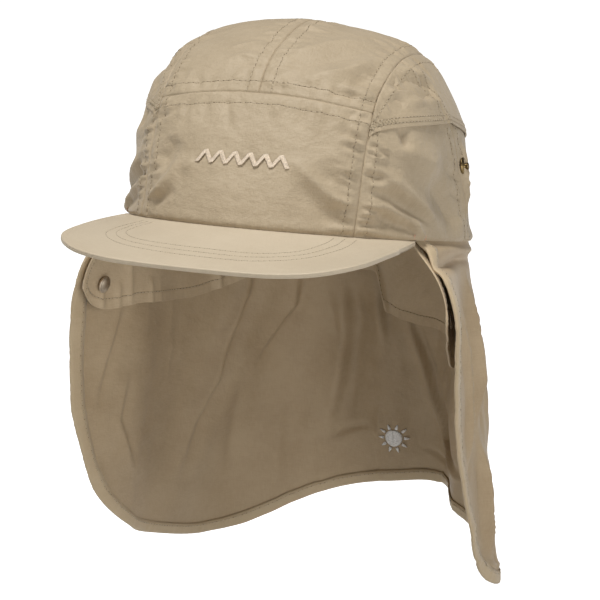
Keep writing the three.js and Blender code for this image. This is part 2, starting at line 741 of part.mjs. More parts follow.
function skirtEdgeDrop(angle) {
  const degrees = wrapped(THREE.MathUtils.radToDeg(angle));
  const row = readTable(SKIRT_EDGE, 'angle', Math.abs(degrees));
  return SKIRT_LENGTH * (degrees > 0 ? row.left : row.right);
}

const SKIRT_STEPS = 48;

function innerSkirt() {
  const start = radians(SKIRT_ANGLE);
  const end = 2 * Math.PI - start;
  const foot = Array.from({ length: EDGE_SAMPLES.skirt + 1 }, (_, i) => {
    const angle = mix(start, end, i / EDGE_SAMPLES.skirt);
    return flat(angle, skirtEdgeDrop(angle));
  });
  const edge = evenly(foot, SKIRT_STEPS);
  const places = edge.map((spot) => [0, 0.2, 0.4, 0.6, 0.8, 1].map((down) => ({
    angle: spot.x / CLOTH_REACH,
    drop: spot.y * down,
  }))).map((column) => [tucked(column[0]), ...column]);
  return clothSolid('inner_skirt', places, skirtPoint, 0, SKIRT_WALL, SHADED_CLOTH);
}

// Turned shape about Z from a closed profile of radius and height.
function turned(profile) {
  const outline = profile.map(([radius, height]) => new THREE.Vector2(radius, height));
  return new THREE.LatheGeometry(outline, 20).rotateX(Math.PI / 2);
}

function placeFacing(mesh, point, direction) {
  mesh.quaternion.setFromUnitVectors(vector(0, 0, 1), direction);
  mesh.position.copy(point);
  return mesh;
}

// Domed snap lying on a tab of the skirt. facing is -1 for the inside of the tab, +1 for the outside.
function snapCap(name, side, facing, height) {
  const radius = SNAP_DIAMETER / 2;
  const profile = [
    [0, 0], [radius * 0.9, 0], [radius, height * 0.25], [radius * 0.94, height * 0.6],
    [radius * 0.6, height * 0.92], [0, height],
  ];
  const place = { angle: side * radians(SNAP_ANGLE), drop: SNAP_DROP };
  const normal = clothNormal(skirtPoint, place);
  const lift = facing > 0 ? GAP * 2 : -SKIRT_WALL - GAP * 2;
  const point = skirtPoint(place).addScaledVector(normal, lift);
  return placeFacing(named(name, turned(profile), SNAP_METAL), point, normal.multiplyScalar(facing));
}

function pressStud(name, side) {
  const flange = STUD_DIAMETER / 2;
  const post = STUD_POST_DIAMETER / 2;
  const profile = [
    [0, 0], [flange, 0], [flange, STUD_HEIGHT * 0.2], [flange * 0.85, STUD_HEIGHT * 0.34],
    [post * 0.85, STUD_HEIGHT * 0.4], [post, STUD_HEIGHT * 0.75], [post * 0.8, STUD_HEIGHT], [0, STUD_HEIGHT],
  ];
  const point = crownSide(STUD_BACKSET, STUD_LIFT, side);
  const normal = crownNormal(point);
  point.addScaledVector(normal, GAP * 2 + swellAt(point));
  return placeFacing(named(name, turned(profile), STUD_METAL), point, normal);
}

// Pieces made in the rim's own frame lean back with the rim; hanging cloth falls straight down.
const leaning = new THREE.Group();
leaning.rotation.x = -TILT;
leaning.add(
  frontPanel(),
  topStrip('crown_top_left', 1),
  topStrip('crown_top_right', -1),
  sidePanel('crown_side_front_left', frontSideBorders(1), TOP_STEPS.front),
  sidePanel('crown_side_front_right', frontSideBorders(-1), TOP_STEPS.front),
  sidePanel('crown_side_rear_left', rearSideBorders(1), TOP_STEPS.rear),
  sidePanel('crown_side_rear_right', rearSideBorders(-1), TOP_STEPS.rear),
  yoke('crown_yoke_left', 1),
  yoke('crown_yoke_right', -1),
  backPanel(),
  peak(),
  pressStud('press_stud_left', 1),
  pressStud('press_stud_right', -1),
);

const cap = new THREE.Group();
cap.add(
  leaning,
  neckFlap(),
  flapBinding(),
  innerSkirt(),
  snapCap('snap_cap_right', -1, -1, SNAP_HEIGHT),
  snapCap('snap_cap_left', 1, 1, SOCKET_HEIGHT),
);

export default cap;
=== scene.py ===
"""Legionnaire cap dressed for a studio picture.

The frame: +Z up, the wearer looks along -Y, +X is the wearer's left, and the origin is the centre
of the rim. The crown is laid out in the rim's own frame and then tilted by worn(). Lengths are in
millimetres and angles in degrees until a mesh is made.
"""

import math

import bpy
import numpy as np
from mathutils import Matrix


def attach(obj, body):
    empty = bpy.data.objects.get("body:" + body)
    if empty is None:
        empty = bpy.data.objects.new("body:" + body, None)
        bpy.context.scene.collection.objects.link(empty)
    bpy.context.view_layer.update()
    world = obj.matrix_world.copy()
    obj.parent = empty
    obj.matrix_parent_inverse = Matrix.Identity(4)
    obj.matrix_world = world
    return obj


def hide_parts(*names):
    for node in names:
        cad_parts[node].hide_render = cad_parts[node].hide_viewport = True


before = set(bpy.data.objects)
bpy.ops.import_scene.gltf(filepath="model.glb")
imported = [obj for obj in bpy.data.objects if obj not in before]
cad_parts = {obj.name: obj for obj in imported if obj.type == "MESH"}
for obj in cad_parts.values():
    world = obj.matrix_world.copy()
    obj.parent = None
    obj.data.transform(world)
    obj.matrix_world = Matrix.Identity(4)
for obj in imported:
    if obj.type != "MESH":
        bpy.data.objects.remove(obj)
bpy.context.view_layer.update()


def table(columns, *rows):
    """Short table as a dict of columns."""
    return dict(zip(columns.split(), np.array(rows, float).T))


# Crown
HEAD_WIDTH = 168
HEAD_LENGTH = 206
CROWN_HEIGHT = 102
WEAR_TILT = 14.5
STRIP_WIDTH = 105
FRONT_PANEL_HEIGHT = 62
FRONT_CORNER_DROP = 5.5
BACK_PANEL_HEIGHT = 56
SIDE_SEAM_TOP_ANGLE = 72
SIDE_SEAM_FOOT = 5
SIDE_SEAM_SHARE = 7 / 17
YOKE_EDGE_HEIGHT = 45
YOKE_EDGE_RISE = 11
CROWN_WALL = 1.5
GAP = 0.3
YOKE_LIFT_LEFT = (0.2, 0.7)
YOKE_LIFT_RIGHT = (0.1, 0.1)
YOKE_ROWS = (2.2, 4.6)
YOKE_STITCH_PITCH = 2.3
UNDER_YOKE = 0.9
YOKE_SEAM_DEPTH = 0.7
YOKE_SEAM_RISE = 0.5
YOKE_GROOVE = 0.12
YOKE_CLOTH = 0.8
YOKE_SEAM_COLUMNS = 4
PANEL_SPACING = 1.15
RIM_TURN = 0.9
RIM_FOLD = 0.25
INNER_SHARE = 0.7
FAR_SIDE_FOLDS = 0.7

# Peak
PEAK_LENGTH = 46
PEAK_WIDTH = 155
PEAK_WALL = 2.3
PEAK_SLOPE = 22
PEAK_ARCH = -0.24
PEAK_ANGLE = 61
PEAK_GRID = (361, 49)
PEAK_UNDER_SKIP = 4
PEAK_GROOVE = 0.18
PEAK_ROW_INSETS = (0, 4.6, 9)
PEAK_STITCH_PITCH = 2.4
PEAK_STITCH_RADIUS = 0.15

# Neck flap and its edge strip
FLAP_LENGTH = 190
FLAP_ANGLE = 63
FLAP_TUCK = 5
FLAP_INSET = 2.5
FLAP_MIDDLE = 0.6
FLAP_CLOTH = 0.6
FLAP_GRID = (130, 330)
BORDER_POINTS = 801
EDGE_ROUNDING = 16
SLACK = 1.8
LOOSE_RISE = 0.3
LOOSE_COUNT = 46
BINDING_WIDTH = 7
BINDING_HALF_WALL = 1.1
BINDING_OVERLAP = 3
BINDING_STITCH = 5.4
BINDING_POINTS = (420, 900)

# Inner skirt
SKIRT_LENGTH = 56
SKIRT_ANGLE = 62
SKIRT_INSET = 5.4
SKIRT_LEAN = 0.08
SKIRT_HEM = 5.5
SKIRT_WALL = 1.2
SKIRT_POINTS = 420
SKIRT_SIDE_ROW = 4.0

# Fasteners
SNAP_DIAMETER = 8.6
SNAP_HEIGHT = 2.2
SOCKET_HEIGHT = 1.3
SNAP_ANGLE = 68
SNAP_DROP = 33.5
STUD_DIAMETER = 9.4
STUD_HEIGHT = 3.2
STUD_POST_DIAMETER = 3.6
STUD_BACKSET = 1.5
STUD_LIFT = 36

# Sewing
STITCH_PITCH = 2.7
STITCH_SHARE = 0.66
STITCH_RADIUS = 0.24
TOPSTITCH = 6.0
STITCH_DIP = 0.2
GROOVE_WIDTH = 0.5
SEAM_DEPTH = 0.4
SEAM_ROUND = 0.4
ALLOWANCE_RISE = 0.13
PUCKER_STRENGTH = 3
CREASE_STRENGTH = 2.2
WRINKLE_STRENGTH = 0.4
CREASE_CREST = 1.5
PUCKER_REACH = 8.0
BAR_TACK_START = 1.5
BAR_TACK_LENGTH = 17
BAR_TACK_SPACING = 0.9
BAR_TACK_SLANT = 0.55
BAR_TACK_HALF_WIDTH = 1.4

# Soft unevenness of the cloths: rise, size and seed of each layer
CROWN_NOISE = ((0.35, 26, 5), (0.16, 10, 6), (0.05, 4.5, 7))
YOKE_NOISE = ((0.25, 20, 8),)
FLAP_NOISE = ((0.5, 24, 71), (0.2, 9, 72))
SKIRT_NOISE = ((0.3, 16, 91),)

# Weave and colour of the cloths: noise scales across and along a thread, and shares of the tone
WEAVE = (2.6, 0.16)
TONE_THREADS = 0.30
TONE_BLOTCHES = 0.45
TONE_FINE = 0.15

# Embroidery: a zigzag on the front, a sun inside the flap and thread bars at the rim
ZIGZAG_SPAN = (-22, 22)
ZIGZAG_MIDDLE = 31
ZIGZAG_HEIGHT = 5.6
ZIGZAG_PEAKS = 6
ZIGZAG_THREADS = 3.4
ZIGZAG_HALF_WIDTH = 1.15
ZIGZAG_LIFT = 0.35
EMBLEM_ANGLE = 170
EMBLEM_DROP = 126
EMBLEM_DISC = 5
EMBLEM_REACH = 9
EMBLEM_RAYS = 10
EMBLEM_LIFT = 0.5
EMBLEM_SPACING = 0.42
EMBLEM_RADIUS = 0.45
EMBLEM_RAY_RADIUS = 0.5
EMBLEM_RAY_GAP = 0.8
RIM_TACK_ANGLES = (60, 65)
RIM_TACK_THREADS = 22
RIM_TACK_HEIGHT = 1.6
RIM_TACK_LIFT = 0.2
RIM_TACK_HALF_WIDTH = 1.3

# Camera, floor and lights, in metres
CAMERA_DISTANCE = 1.05
CAMERA_TURN = 19.73
CAMERA_LIFT = 15.56
FOCAL_PIXELS = 2109.9
FRAME_PIXELS = 600
ORIGIN_PIXEL = (302.6, 225.9)
SENSOR_MM = 36
FLOOR_DROP = 0.46
FLOOR_HALF = 30
FLOOR_TONE = 0.62
PAPER_SPECKLE = 0.985
FLOOR_GLOW = 0.97
FLOOR_GLOW_REACH = (0.35, 0.65)
FLOOR_GLOW_SHIFT = 1.1
WORLD_LIGHT = 0.11

MM = 0.001
HALF_WIDTH = HEAD_WIDTH / 2
HALF_LENGTH = HEAD_LENGTH / 2
SEAM = STRIP_WIDTH / 2
TILT = math.radians(WEAR_TILT)
CLOTH_REACH = (HALF_WIDTH + HALF_LENGTH) / 2

# Level sections of the crown, as shares of its height, half width and half length.
CROWN_SECTIONS = table(
    "height side front back square",
    (0.00, 1.000, 1.000, 1.000, 2.0),
    (0.15, 0.962, 0.960, 0.945, 2.1),
    (0.30, 0.938, 0.905, 0.890, 2.3),
    (0.50, 0.900, 0.815, 0.830, 2.6),
    (0.60, 0.865, 0.763, 0.785, 2.7),
    (0.70, 0.800, 0.705, 0.720, 2.5),
    (0.80, 0.715, 0.600, 0.620, 2.3),
    (0.88, 0.605, 0.455, 0.505, 2.2),
    (0.94, 0.465, 0.320, 0.365, 2.1),
    (0.98, 0.285, 0.190, 0.205, 2.0),
    (1.00, 0.000, 0.040, -0.040, 2.0),
)

# Lights in metres and watts: one overhead, a low one in front on the right, and two weak ones.
LIGHTS = table(
    "x y z size power",
    (-0.20, -0.25, 2.05, 0.7, 43),
    (1.25, -1.75, 0.40, 0.4, 8.5),
    (1.90, -0.50, 0.40, 0.6, 8),
    (-1.60, -1.20, 0.50, 0.6, 4),
)

PEAK_OUTLINE = table(
    "step across forward",
    (0, 0.00, 1.000),
    (1, 0.27, 0.994),
    (2, 0.54, 0.975),
    (3, 0.77, 0.910),
    (4, 0.92, 0.750),
    (5, 0.96, 0.480),
    (6, 0.965, 0.220),
    (7, 0.948, 0.000),
)

# Section of the peak's free edge, out from the edge and down from the top, with two fine grooves.
PEAK_EDGE = table(
    "reach down",
    (0.30, 0.10),
    (0.55, 0.35),
    (0.65, 0.75),
    (0.50, 0.90),
    (0.66, 1.05),
    (0.66, 1.45),
    (0.50, 1.60),
    (0.62, 1.75),
    (0.45, 2.10),
    (0.10, 2.30),
)

# Line of the peak's outermost topstitching, from the left end round the front to the right end.
PEAK_ROW = table(
    "step x y",
    (0, 55, -82),
    (1, 54, -102),
    (2, 45, -123),
    (3, 24, -135.5),
    (4, -6, -137),
    (5, -30, -133),
    (6, -46, -125.5),
    (7, -55, -113),
    (8, -53.5, -99),
    (9, -47, -89.5),
)

# Section of the flap's edge strip: distance in from the edge and share of half its thickness.
BINDING_SECTION = table(
    "inset lift",
    (7.0, 0.60),
    (7.0, 1.05),
    (4.5, 1.05),
    (1.6, 0.95),
    (0.5, 0.68),
    (0.0, 0.00),
    (0.5, -0.68),
    (1.6, -0.95),
    (4.5, -1.05),
    (7.0, -1.05),
    (7.0, -0.60),
    (6.6, -0.41),
    (2.4, -0.38),
    (1.9, 0.00),
    (2.4, 0.38),
    (6.6, 0.41),
)

# Section of a snap cap in shares of its radius and height.
SNAP_SECTION = table(
    "wide high",
    (0.00, 0.00),
    (0.90, 0.00),
    (0.98, 0.12),
    (1.00, 0.30),
    (0.97, 0.50),
    (0.88, 0.62),
    (0.84, 0.60),
    (0.78, 0.68),
    (0.55, 0.88),
    (0.28, 0.97),
    (0.00, 1.00),
)

FLAP_FLARE = table(
    "drop side back",
    (0.00, 0.00, 0.00),
    (0.08, 0.01, 0.02),
    (0.20, 0.03, 0.05),
    (0.40, 0.07, 0.11),
    (0.70, 0.15, 0.18),
    (1.00, 0.21, 0.23),
)

FLAP_CHEEKS = table(
    "drop left right left_reach right_reach",
    (0.00, 0.00, 0.00, 0.00, 0.00),
    (0.08, 0.21, 0.17, 0.12, 0.17),
    (0.20, 0.28, 0.26, 0.17, 0.19),
    (0.40, 0.24, 0.29, 0.15, 0.15),
    (0.70, 0.22, 0.21, 0.13, 0.13),
    (1.00, 0.16, 0.14, 0.12, 0.12),
)

FLAP_EDGE = table(
    "angle left right",
    (63.0, 0.520, 0.535),
    (65.5, 0.625, 0.675),
    (70.0, 0.715, 0.780),
    (78.0, 0.830, 0.870),
    (86.0, 0.910, 0.920),
    (94.0, 0.955, 0.955),
    (108.0, 0.975, 0.990),
    (122.0, 0.880, 1.018),
    (135.0, 0.820, 1.006),
    (150.0, 0.800, 0.935),
    (165.0, 0.797, 0.870),
    (180.0, 0.828, 0.828),
)

FLAP_FOLDS = table(
    "angle out width start end lean",
    (96, 0.016, 9, 0.15, 1.10, 4),
    (122, -0.055, 12, 0.20, 1.10, 16),
    (150, 0.034, 13, 0.15, 1.10, 8),
    (176, -0.030, 10, 0.05, 1.00, -10),
    (-164, 0.028, 11, 0.10, 1.10, 36),
    (-149, -0.026, 9, 0.10, 1.00, 45),
    (-122, 0.016, 13, 0.25, 1.10, 18),
    (-88, -0.012, 11, 0.30, 1.10, 5),
)

SKIRT_EDGE = table(
    "angle left right",
    (62.0, 0.58, 0.62),
    (65.0, 0.70, 0.78),
    (70.0, 0.80, 0.85),
    (80.0, 0.97, 0.84),
    (93.0, 1.18, 0.85),
    (110.0, 1.12, 0.82),
    (125.0, 1.02, 0.71),
    (140.0, 0.96, 0.56),
    (155.0, 0.95, 0.52),
    (168.5, 0.84, 0.48),
    (172.5, 0.50, 0.46),
    (180.0, 0.45, 0.45),
)

# Soft swellings and hollows of the crown in the rim's frame, in shares of half its width, half its
# length and its height; radius and rise are shares of its height.
CROWN_SWELLS = table(
    "x y z radius rise",
    (-0.66, -0.12, 0.84, 0.34, 0.032),
    (-0.80, -0.30, 0.62, 0.22, 0.012),
    (0.15, 0.22, 0.97, 0.36, -0.016),
    (0.78, 0.45, 0.10, 0.28, -0.014),
)


def unit(v):
    return v / np.maximum(np.linalg.norm(v, axis=-1, keepdims=True), 1e-9)


def mix(start, end, share):
    return start + (end - start) * share


def smooth(value, low, high):
    """0 below low, 1 above high, smooth between."""
    t = np.clip((value - low) / (high - low), 0, 1)
    return t * t * (3 - 2 * t)


def bell(value, centre, width):
    """1 at the centre, falling softly to 0 on both sides."""
    return np.exp(-(((value - centre) / width) ** 2))


def point(x, y, z):
    return np.stack(np.broadcast_arrays(x, y, z), -1).astype(float)


def read(rows, key, values):
    """Smooth curve through a table's rows, read at values of its key column."""
    order = np.argsort(rows[key])
    keys = rows[key][order]
    last = len(keys) - 1
    values = np.clip(values, keys[0], keys[-1])
    index = np.clip(np.searchsorted(keys, values) - 1, 0, last - 1)
    span = keys[index + 1] - keys[index]
    t = (values - keys[index]) / span
    after = np.minimum(np.arange(last + 1) + 1, last)
    before = np.maximum(np.arange(last + 1) - 1, 0)
    result = {}
    for name, column in rows.items():
        column = column[order]
        slope = (column[after] - column[before]) / (keys[after] - keys[before])
        result[name] = (
            column[index] * (2 * t**3 - 3 * t**2 + 1)
            + slope[index] * span * (t**3 - 2 * t**2 + t)
            + column[index + 1] * (3 * t**2 - 2 * t**3)
            + slope[index + 1] * span * (t**3 - t**2)
        )
    return result


# The sections shrink to a point at the top, so the table is read by the root of the height left.
SECTIONS_BY_ROOT = {**CROWN_SECTIONS, "root": np.sqrt(1 - CROWN_SECTIONS["height"])}


def crown_section(z):
    left = np.clip(1 - np.asarray(z, float) / CROWN_HEIGHT, 0, 1)
    row = read(SECTIONS_BY_ROOT, "root", np.sqrt(left))
    half_width = np.maximum(row["side"] * HALF_WIDTH, 1e-3)
    middle = (row["back"] - row["front"]) * HALF_LENGTH / 2
    half_length = np.maximum((row["back"] + row["front"]) * HALF_LENGTH / 2, 1e-3)
    return half_width, middle, half_length, row["square"]


def crown_field(p):
    """Zero on the crown's outside, positive outside it."""
    x, y, z = p[..., 0], p[..., 1], p[..., 2]
    half_width, middle, half_length, square = crown_section(z)
    power = np.where(y < middle, square, 2)
    across = np.abs(x) / half_width
    along = np.abs(y - middle) / half_length
    field = (across**power + along**power) ** (1 / power) - 1
    return np.where(z >= CROWN_HEIGHT, z / CROWN_HEIGHT, field)


def crown_normal(p):
    """Outward direction at points of the crown; level at the rim."""
    step = 0.05
    above_rim = (-np.inf, -np.inf, 0)
    p = p.copy()
    p[..., 2] = np.minimum(p[..., 2], CROWN_HEIGHT - 2 * step)
    normal = np.stack(
        [
            crown_field(p + step * way) - crown_field(np.maximum(p - step * way, above_rim))
            for way in np.eye(3)
        ],
        -1,
    )
    normal[..., 2] *= smooth(p[..., 2], 0.0, 3.0)
    # The sections shrink to a point at the very top, where the cloth faces straight up.
    top = smooth(p[..., 2], CROWN_HEIGHT - 0.6, CROWN_HEIGHT - 2 * step)[..., None]
    return unit(mix(unit(normal), np.array([0.0, 0.0, 1.0]), top))


def swell_at(p):
    """How far the cloth stands off the crown's plain shape."""
    rise = 0
    for x, y, z, radius, height in zip(*CROWN_SWELLS.values()):
        centre = np.array([x * HALF_WIDTH, y * HALF_LENGTH, z * CROWN_HEIGHT])
        away = np.linalg.norm(p - centre, axis=-1) / (radius * CROWN_HEIGHT)
        rise = rise + height * bell(away, 0, 1)
    return rise * CROWN_HEIGHT * smooth(p[..., 2], 0, CROWN_HEIGHT * 0.1)


def crown_front_back(x, z, facing):
    """Point of the crown at a given x and height, on the front (-1) or the back (+1)."""
    half_width, middle, half_length, square = crown_section(z)
    power = square if facing < 0 else 2
    across = np.minimum(np.abs(x) / half_width, 1)
    along = (1 - across**power) ** (1 / power)
    return point(x, middle + facing * half_length * along, z)


def crown_side(y, z, side):
    """Point of the crown at a given y and height, on the left (+1) or the right (-1)."""
    half_width, middle, half_length, square = crown_section(z)
    power = np.where(y < middle, square, 2)
    along = np.minimum(np.abs(y - middle) / half_length, 1)
    return point(side * half_width * (1 - along**power) ** (1 / power), y, z)


def bisect(low, high, beyond, rounds=40):
    """Where beyond() turns true between arrays low and high."""
    for _ in range(rounds):
        middle = (low + high) / 2
        far = beyond(middle)
        low, high = np.where(far, low, middle), np.where(far, middle, high)
    return low


def crown_over(x, angle):
    """Point of the crown at a given x, seen from the middle of the rim at an angle from the front."""
    x, angle = np.broadcast_arrays(np.asarray(x, float), angle)

    def at(reach):
        return point(x, -reach * np.cos(angle), reach * np.sin(angle))

    ones = np.ones(x.shape)
    return at(bisect(ones, ones * HALF_LENGTH * 1.5, lambda reach: crown_field(at(reach)) > 0))


def angle_over(p):
    return np.arctan2(p[..., 2], -p[..., 1])


def crown_ring(angle, z, inset):
    """Point on a level section of the crown at an angle from the front, moved in by an inset."""
    half_width, middle, half_length, square = crown_section(z)
    power = np.where(np.cos(angle) > 0, square, 2)
    size = (np.abs(np.sin(angle)) ** power + np.abs(np.cos(angle)) ** power) ** (-1 / power)
    ring = point(
        half_width * np.sin(angle) * size,
        middle - half_length * np.cos(angle) * size,
        z,
    )
    normal = crown_normal(ring)
    normal[..., 2] = 0
    return ring - unit(normal) * np.asarray(inset)[..., None]


def worn(p):
    """A rim-frame point where the worn cap has it."""
    cosine, sine = math.cos(TILT), math.sin(TILT)
    return point(
        p[..., 0],
        p[..., 1] * cosine + p[..., 2] * sine,
        p[..., 2] * cosine - p[..., 1] * sine,
    )


def front_seam_height(x):
    return FRONT_PANEL_HEIGHT - FRONT_CORNER_DROP * (x / SEAM) ** 2


def back_seam_height(x):
    return BACK_PANEL_HEIGHT - FRONT_CORNER_DROP * (x / SEAM) ** 2


def over_angle(share, x):
    """Angle over the head along a top strip, with the side seam at its own share."""
    front = angle_over(crown_front_back(x, front_seam_height(x), -1))
    back = angle_over(crown_front_back(x, back_seam_height(x), 1))
    side = math.radians(SIDE_SEAM_TOP_ANGLE)
    fore = mix(front, side, share / SIDE_SEAM_SHARE)
    aft = mix(side, back, (share - SIDE_SEAM_SHARE) / (1 - SIDE_SEAM_SHARE))
    return np.where(share < SIDE_SEAM_SHARE, fore, aft)


def front_panel_point(across, up):
    x = mix(-SEAM, SEAM, across)
    return crown_front_back(x, up * front_seam_height(x), -1)


def back_panel_point(across, up):
    x = mix(-SEAM, SEAM, across)
    return crown_front_back(x, up * back_seam_height(x), 1)


def top_strip_point(across, over):
    x = across * SEAM
    return crown_over(x, over_angle(over, x))


def side_seam_at(up):
    top = crown_over(SEAM, math.radians(SIDE_SEAM_TOP_ANGLE))
    return crown_side(mix(SIDE_SEAM_FOOT, top[1], up**1.5), up * top[2], 1)


def side_borders(is_front):
    """Foot, head, fore and aft borders of a side panel on the left."""
    corner = crown_front_back(SEAM, 0.0, -1 if is_front else 1)[1]
    seam_height = front_seam_height(SEAM) if is_front else back_seam_height(SEAM)

    def outer(up):
        return crown_front_back(SEAM + 0 * up, up * seam_height, -1 if is_front else 1)

    def foot(share):
        ends = (corner, SIDE_SEAM_FOOT) if is_front else (SIDE_SEAM_FOOT, corner)
        return crown_side(mix(*ends, share), 0 * share, 1)

    def head(share):
        low, high = (0, SIDE_SEAM_SHARE) if is_front else (SIDE_SEAM_SHARE, 1)
        return crown_over(SEAM, over_angle(mix(low, high, share), SEAM))

    return (foot, head, outer, side_seam_at) if is_front else (foot, head, side_seam_at, outer)


def onto_crown(p):
    """Moves points near the crown straight out or in until they lie on it."""
    centre = np.array([0, 0, CROWN_HEIGHT * 0.3])
    way = p - centre

    def at(reach):
        moved = centre + way * reach[..., None]
        moved[..., 2] = np.maximum(moved[..., 2], 0)
        return moved

    ones = np.ones(p.shape[:-1])
    return at(bisect(0.3 * ones, 2 * ones, lambda reach: crown_field(at(reach)) > 0))


def side_point(is_front, across, up):
    """Blend of the four borders of a side panel, laid onto the crown."""
    foot, head, fore, aft = side_borders(is_front)
    across, up = across[..., None], up[..., None]
    ends = [side(np.array([0.0, 1.0])) for side in (foot, head)]
    blend = (
        mix(foot(across[..., 0]), head(across[..., 0]), up)
        + mix(fore(up[..., 0]), aft(up[..., 0]), across)
        - mix(mix(ends[0][0], ends[0][1], across), mix(ends[1][0], ends[1][1], across), up)
    )
    return onto_crown(blend)


def yoke_point(across, up):
    """The second layer over the upper part of both side panels, from its free edge up."""
    columns = across[0]
    is_front = columns <= SIDE_SEAM_SHARE
    local = np.where(
        is_front,
        columns / SIDE_SEAM_SHARE,
        (columns - SIDE_SEAM_SHARE) / (1 - SIDE_SEAM_SHARE),
    )
    height = YOKE_EDGE_HEIGHT + YOKE_EDGE_RISE * np.where(is_front, np.sqrt(local), 1 - local)

    def at(share):
        fore, aft = side_point(True, local, share), side_point(False, local, share)
        return np.where(is_front[:, None], fore, aft)

    bottom = np.zeros(len(columns))
    edge_low = bisect(bottom, bottom + 1, lambda share: at(share)[:, 2] > height, 24)
    return at(mix(edge_low, 1, up))


def beyond_rim(x, y):
    """Distance forward of the rim, measured by the rim's own ellipse."""
    reach = np.hypot(x / HALF_WIDTH, y / HALF_LENGTH) - 1
    return np.maximum(reach, 0) * CLOTH_REACH


def peak_height(x, y):
    slope = math.tan(math.radians(PEAK_SLOPE)) + PEAK_ARCH * (2 * x / PEAK_WIDTH) ** 2
    return -GAP - beyond_rim(x, y) * slope


def peak_point(along, out):
    """Point of the peak's top: along runs from tip to tip, out from the seam to the free edge."""
    limit = math.radians(PEAK_ANGLE)
    sweep = limit * (2 * along - 1)
    seam = crown_ring(sweep, 0 * sweep, CROWN_WALL + 0 * sweep)
    tip = crown_ring(np.array(limit), 0.0, 0.0)
    edge = read(PEAK_OUTLINE, "step", np.abs(2 * along - 1) * PEAK_OUTLINE["step"][-1])
    x = mix(seam[..., 0], np.sign(sweep) * edge["across"] * PEAK_WIDTH / 2, out)
    y = mix(seam[..., 1], mix(tip[1], -HALF_LENGTH - PEAK_LENGTH, edge["forward"]), out)
    return point(x, y, peak_height(x, y))


def fold_out(angle, drop):
    """How far the flap's long soft folds carry it outward."""
    degrees = np.degrees(angle)
    share = drop / FLAP_LENGTH
    out = 0
    for row in zip(*FLAP_FOLDS.values()):
        centre, depth, width, start, end, lean = row
        away = (degrees - centre - lean * share + 540) % 360 - 180
        begun = smooth(share, start, start + 0.35)
        ended = 1 - smooth(share, end - 0.15, end + 0.15)
        out = out + depth * begun * ended * bell(away, 0, width)
    return out * FLAP_LENGTH


def hanging_point(angle, drop, inset, folds):
    """Point of a hanging cloth at an angle from the front and a drop below the rim."""
    below = np.maximum(drop, 0)
    p = worn(crown_ring(angle, np.maximum(-drop, 0), inset + 0 * drop))
    flare = read(FLAP_FLARE, "drop", below / FLAP_LENGTH)
    cheeks = read(FLAP_CHEEKS, "drop", below / FLAP_LENGTH)
    sine, cosine = np.sin(angle), np.cos(angle)
    cheek = np.maximum(cosine / math.cos(math.radians(FLAP_ANGLE)), 0) ** 1.5
    push = cheek * np.where(sine > 0, cheeks["left"], cheeks["right"])
    reach = cheek * np.where(sine > 0, cheeks["left_reach"], cheeks["right_reach"])
    out = folds * fold_out(angle, below)
    p[..., 0] += HALF_WIDTH * (flare["side"] * sine + push * np.sign(sine))
    p[..., 1] -= HALF_LENGTH * (flare["back"] * np.minimum(cosine, 0) + reach)
    p[..., 0] += out * sine
    p[..., 1] -= out * cosine
    p[..., 2] -= below
    return p


def flap_point(angle, drop):
    return hanging_point(angle, drop, FLAP_INSET, 1)


def skirt_point(angle, drop):
    return hanging_point(angle, drop, SKIRT_INSET + np.maximum(drop, 0) * SKIRT_LEAN, 0)


def cloth_normal(cloth, angle, drop):
    """Outward normal of a hanging cloth, from its own points close by."""
    turn, fall = 0.01, 0.5
    around = cloth(angle + turn, drop) - cloth(angle - turn, drop)
    down = cloth(angle, drop + fall) - cloth(angle, drop - fall)
    return unit(np.cross(down, around))


def signed_edge(rows, angle, first):
    """A cloth's drop from its edge table, which gives the left and right sides, as a share."""
    degrees = (np.degrees(angle) + 180) % 360 - 180
    row = read(rows, "angle", np.maximum(np.abs(degrees), first))
    return np.where(degrees > 0, row["left"], row["right"])


def flap_edge_drop(angle):
    return FLAP_LENGTH * signed_edge(FLAP_EDGE, angle, FLAP_ANGLE)


def skirt_edge_drop(angle):
    return SKIRT_LENGTH * signed_edge(SKIRT_EDGE, angle, SKIRT_ANGLE)


def lengths_along(path):
    steps = np.linalg.norm(np.diff(path, axis=0), axis=-1)
    return np.concatenate([[0], np.cumsum(steps)])


def at_lengths(values, lengths, wanted):
    """Columns of values, known at some lengths along a path, at the wanted lengths."""
    return np.stack([np.interp(wanted, lengths, column) for column in values.T], -1)


def evenly(path, count):
    """The path with count points evenly spaced along it."""
    lengths = lengths_along(path)
    return at_lengths(path, lengths, np.linspace(0, lengths[-1], count))


def rounded(path, reach):
    """The path with its corners worn off, averaged over reach points both ways; its ends stay."""
    before = 2 * path[0] - path[reach:0:-1]
    after = 2 * path[-1] - path[-2 : -reach - 2 : -1]
    long = np.concatenate([before, path, after])
    share = np.full(2 * reach + 1, 1 / (2 * reach + 1))
    return np.stack([np.convolve(column, share, "valid") for column in long.T], -1)


def flap_border(side_count, foot_count):
    """The flap's free edge on the flat: left front edge, lower edge, right front edge."""
    start = math.radians(FLAP_ANGLE)
    end = 2 * math.pi - start
    angles = np.linspace(start, end, BORDER_POINTS)
    foot = np.stack([angles * CLOTH_REACH, flap_edge_drop(angles)], -1)
    foot = rounded(rounded(evenly(foot, len(angles)), EDGE_ROUNDING), EDGE_ROUNDING)
    drops = np.linspace(0, 1, side_count)
    left = np.stack([0 * drops + foot[0, 0], drops * foot[0, 1]], -1)
    right = np.stack([0 * drops + foot[-1, 0], drops * foot[-1, 1]], -1)
    return left, evenly(foot, foot_count), right


def moved_in(run, distance):
    """A run on the flat and its inward direction, moved in by a distance."""
    along = unit(np.gradient(run, axis=0))
    inward = np.stack([along[:, 1], -along[:, 0]], -1)
    return run + inward * distance


def from_flat(spots):
    return spots[..., 0] / CLOTH_REACH, spots[..., 1]


# Meshes


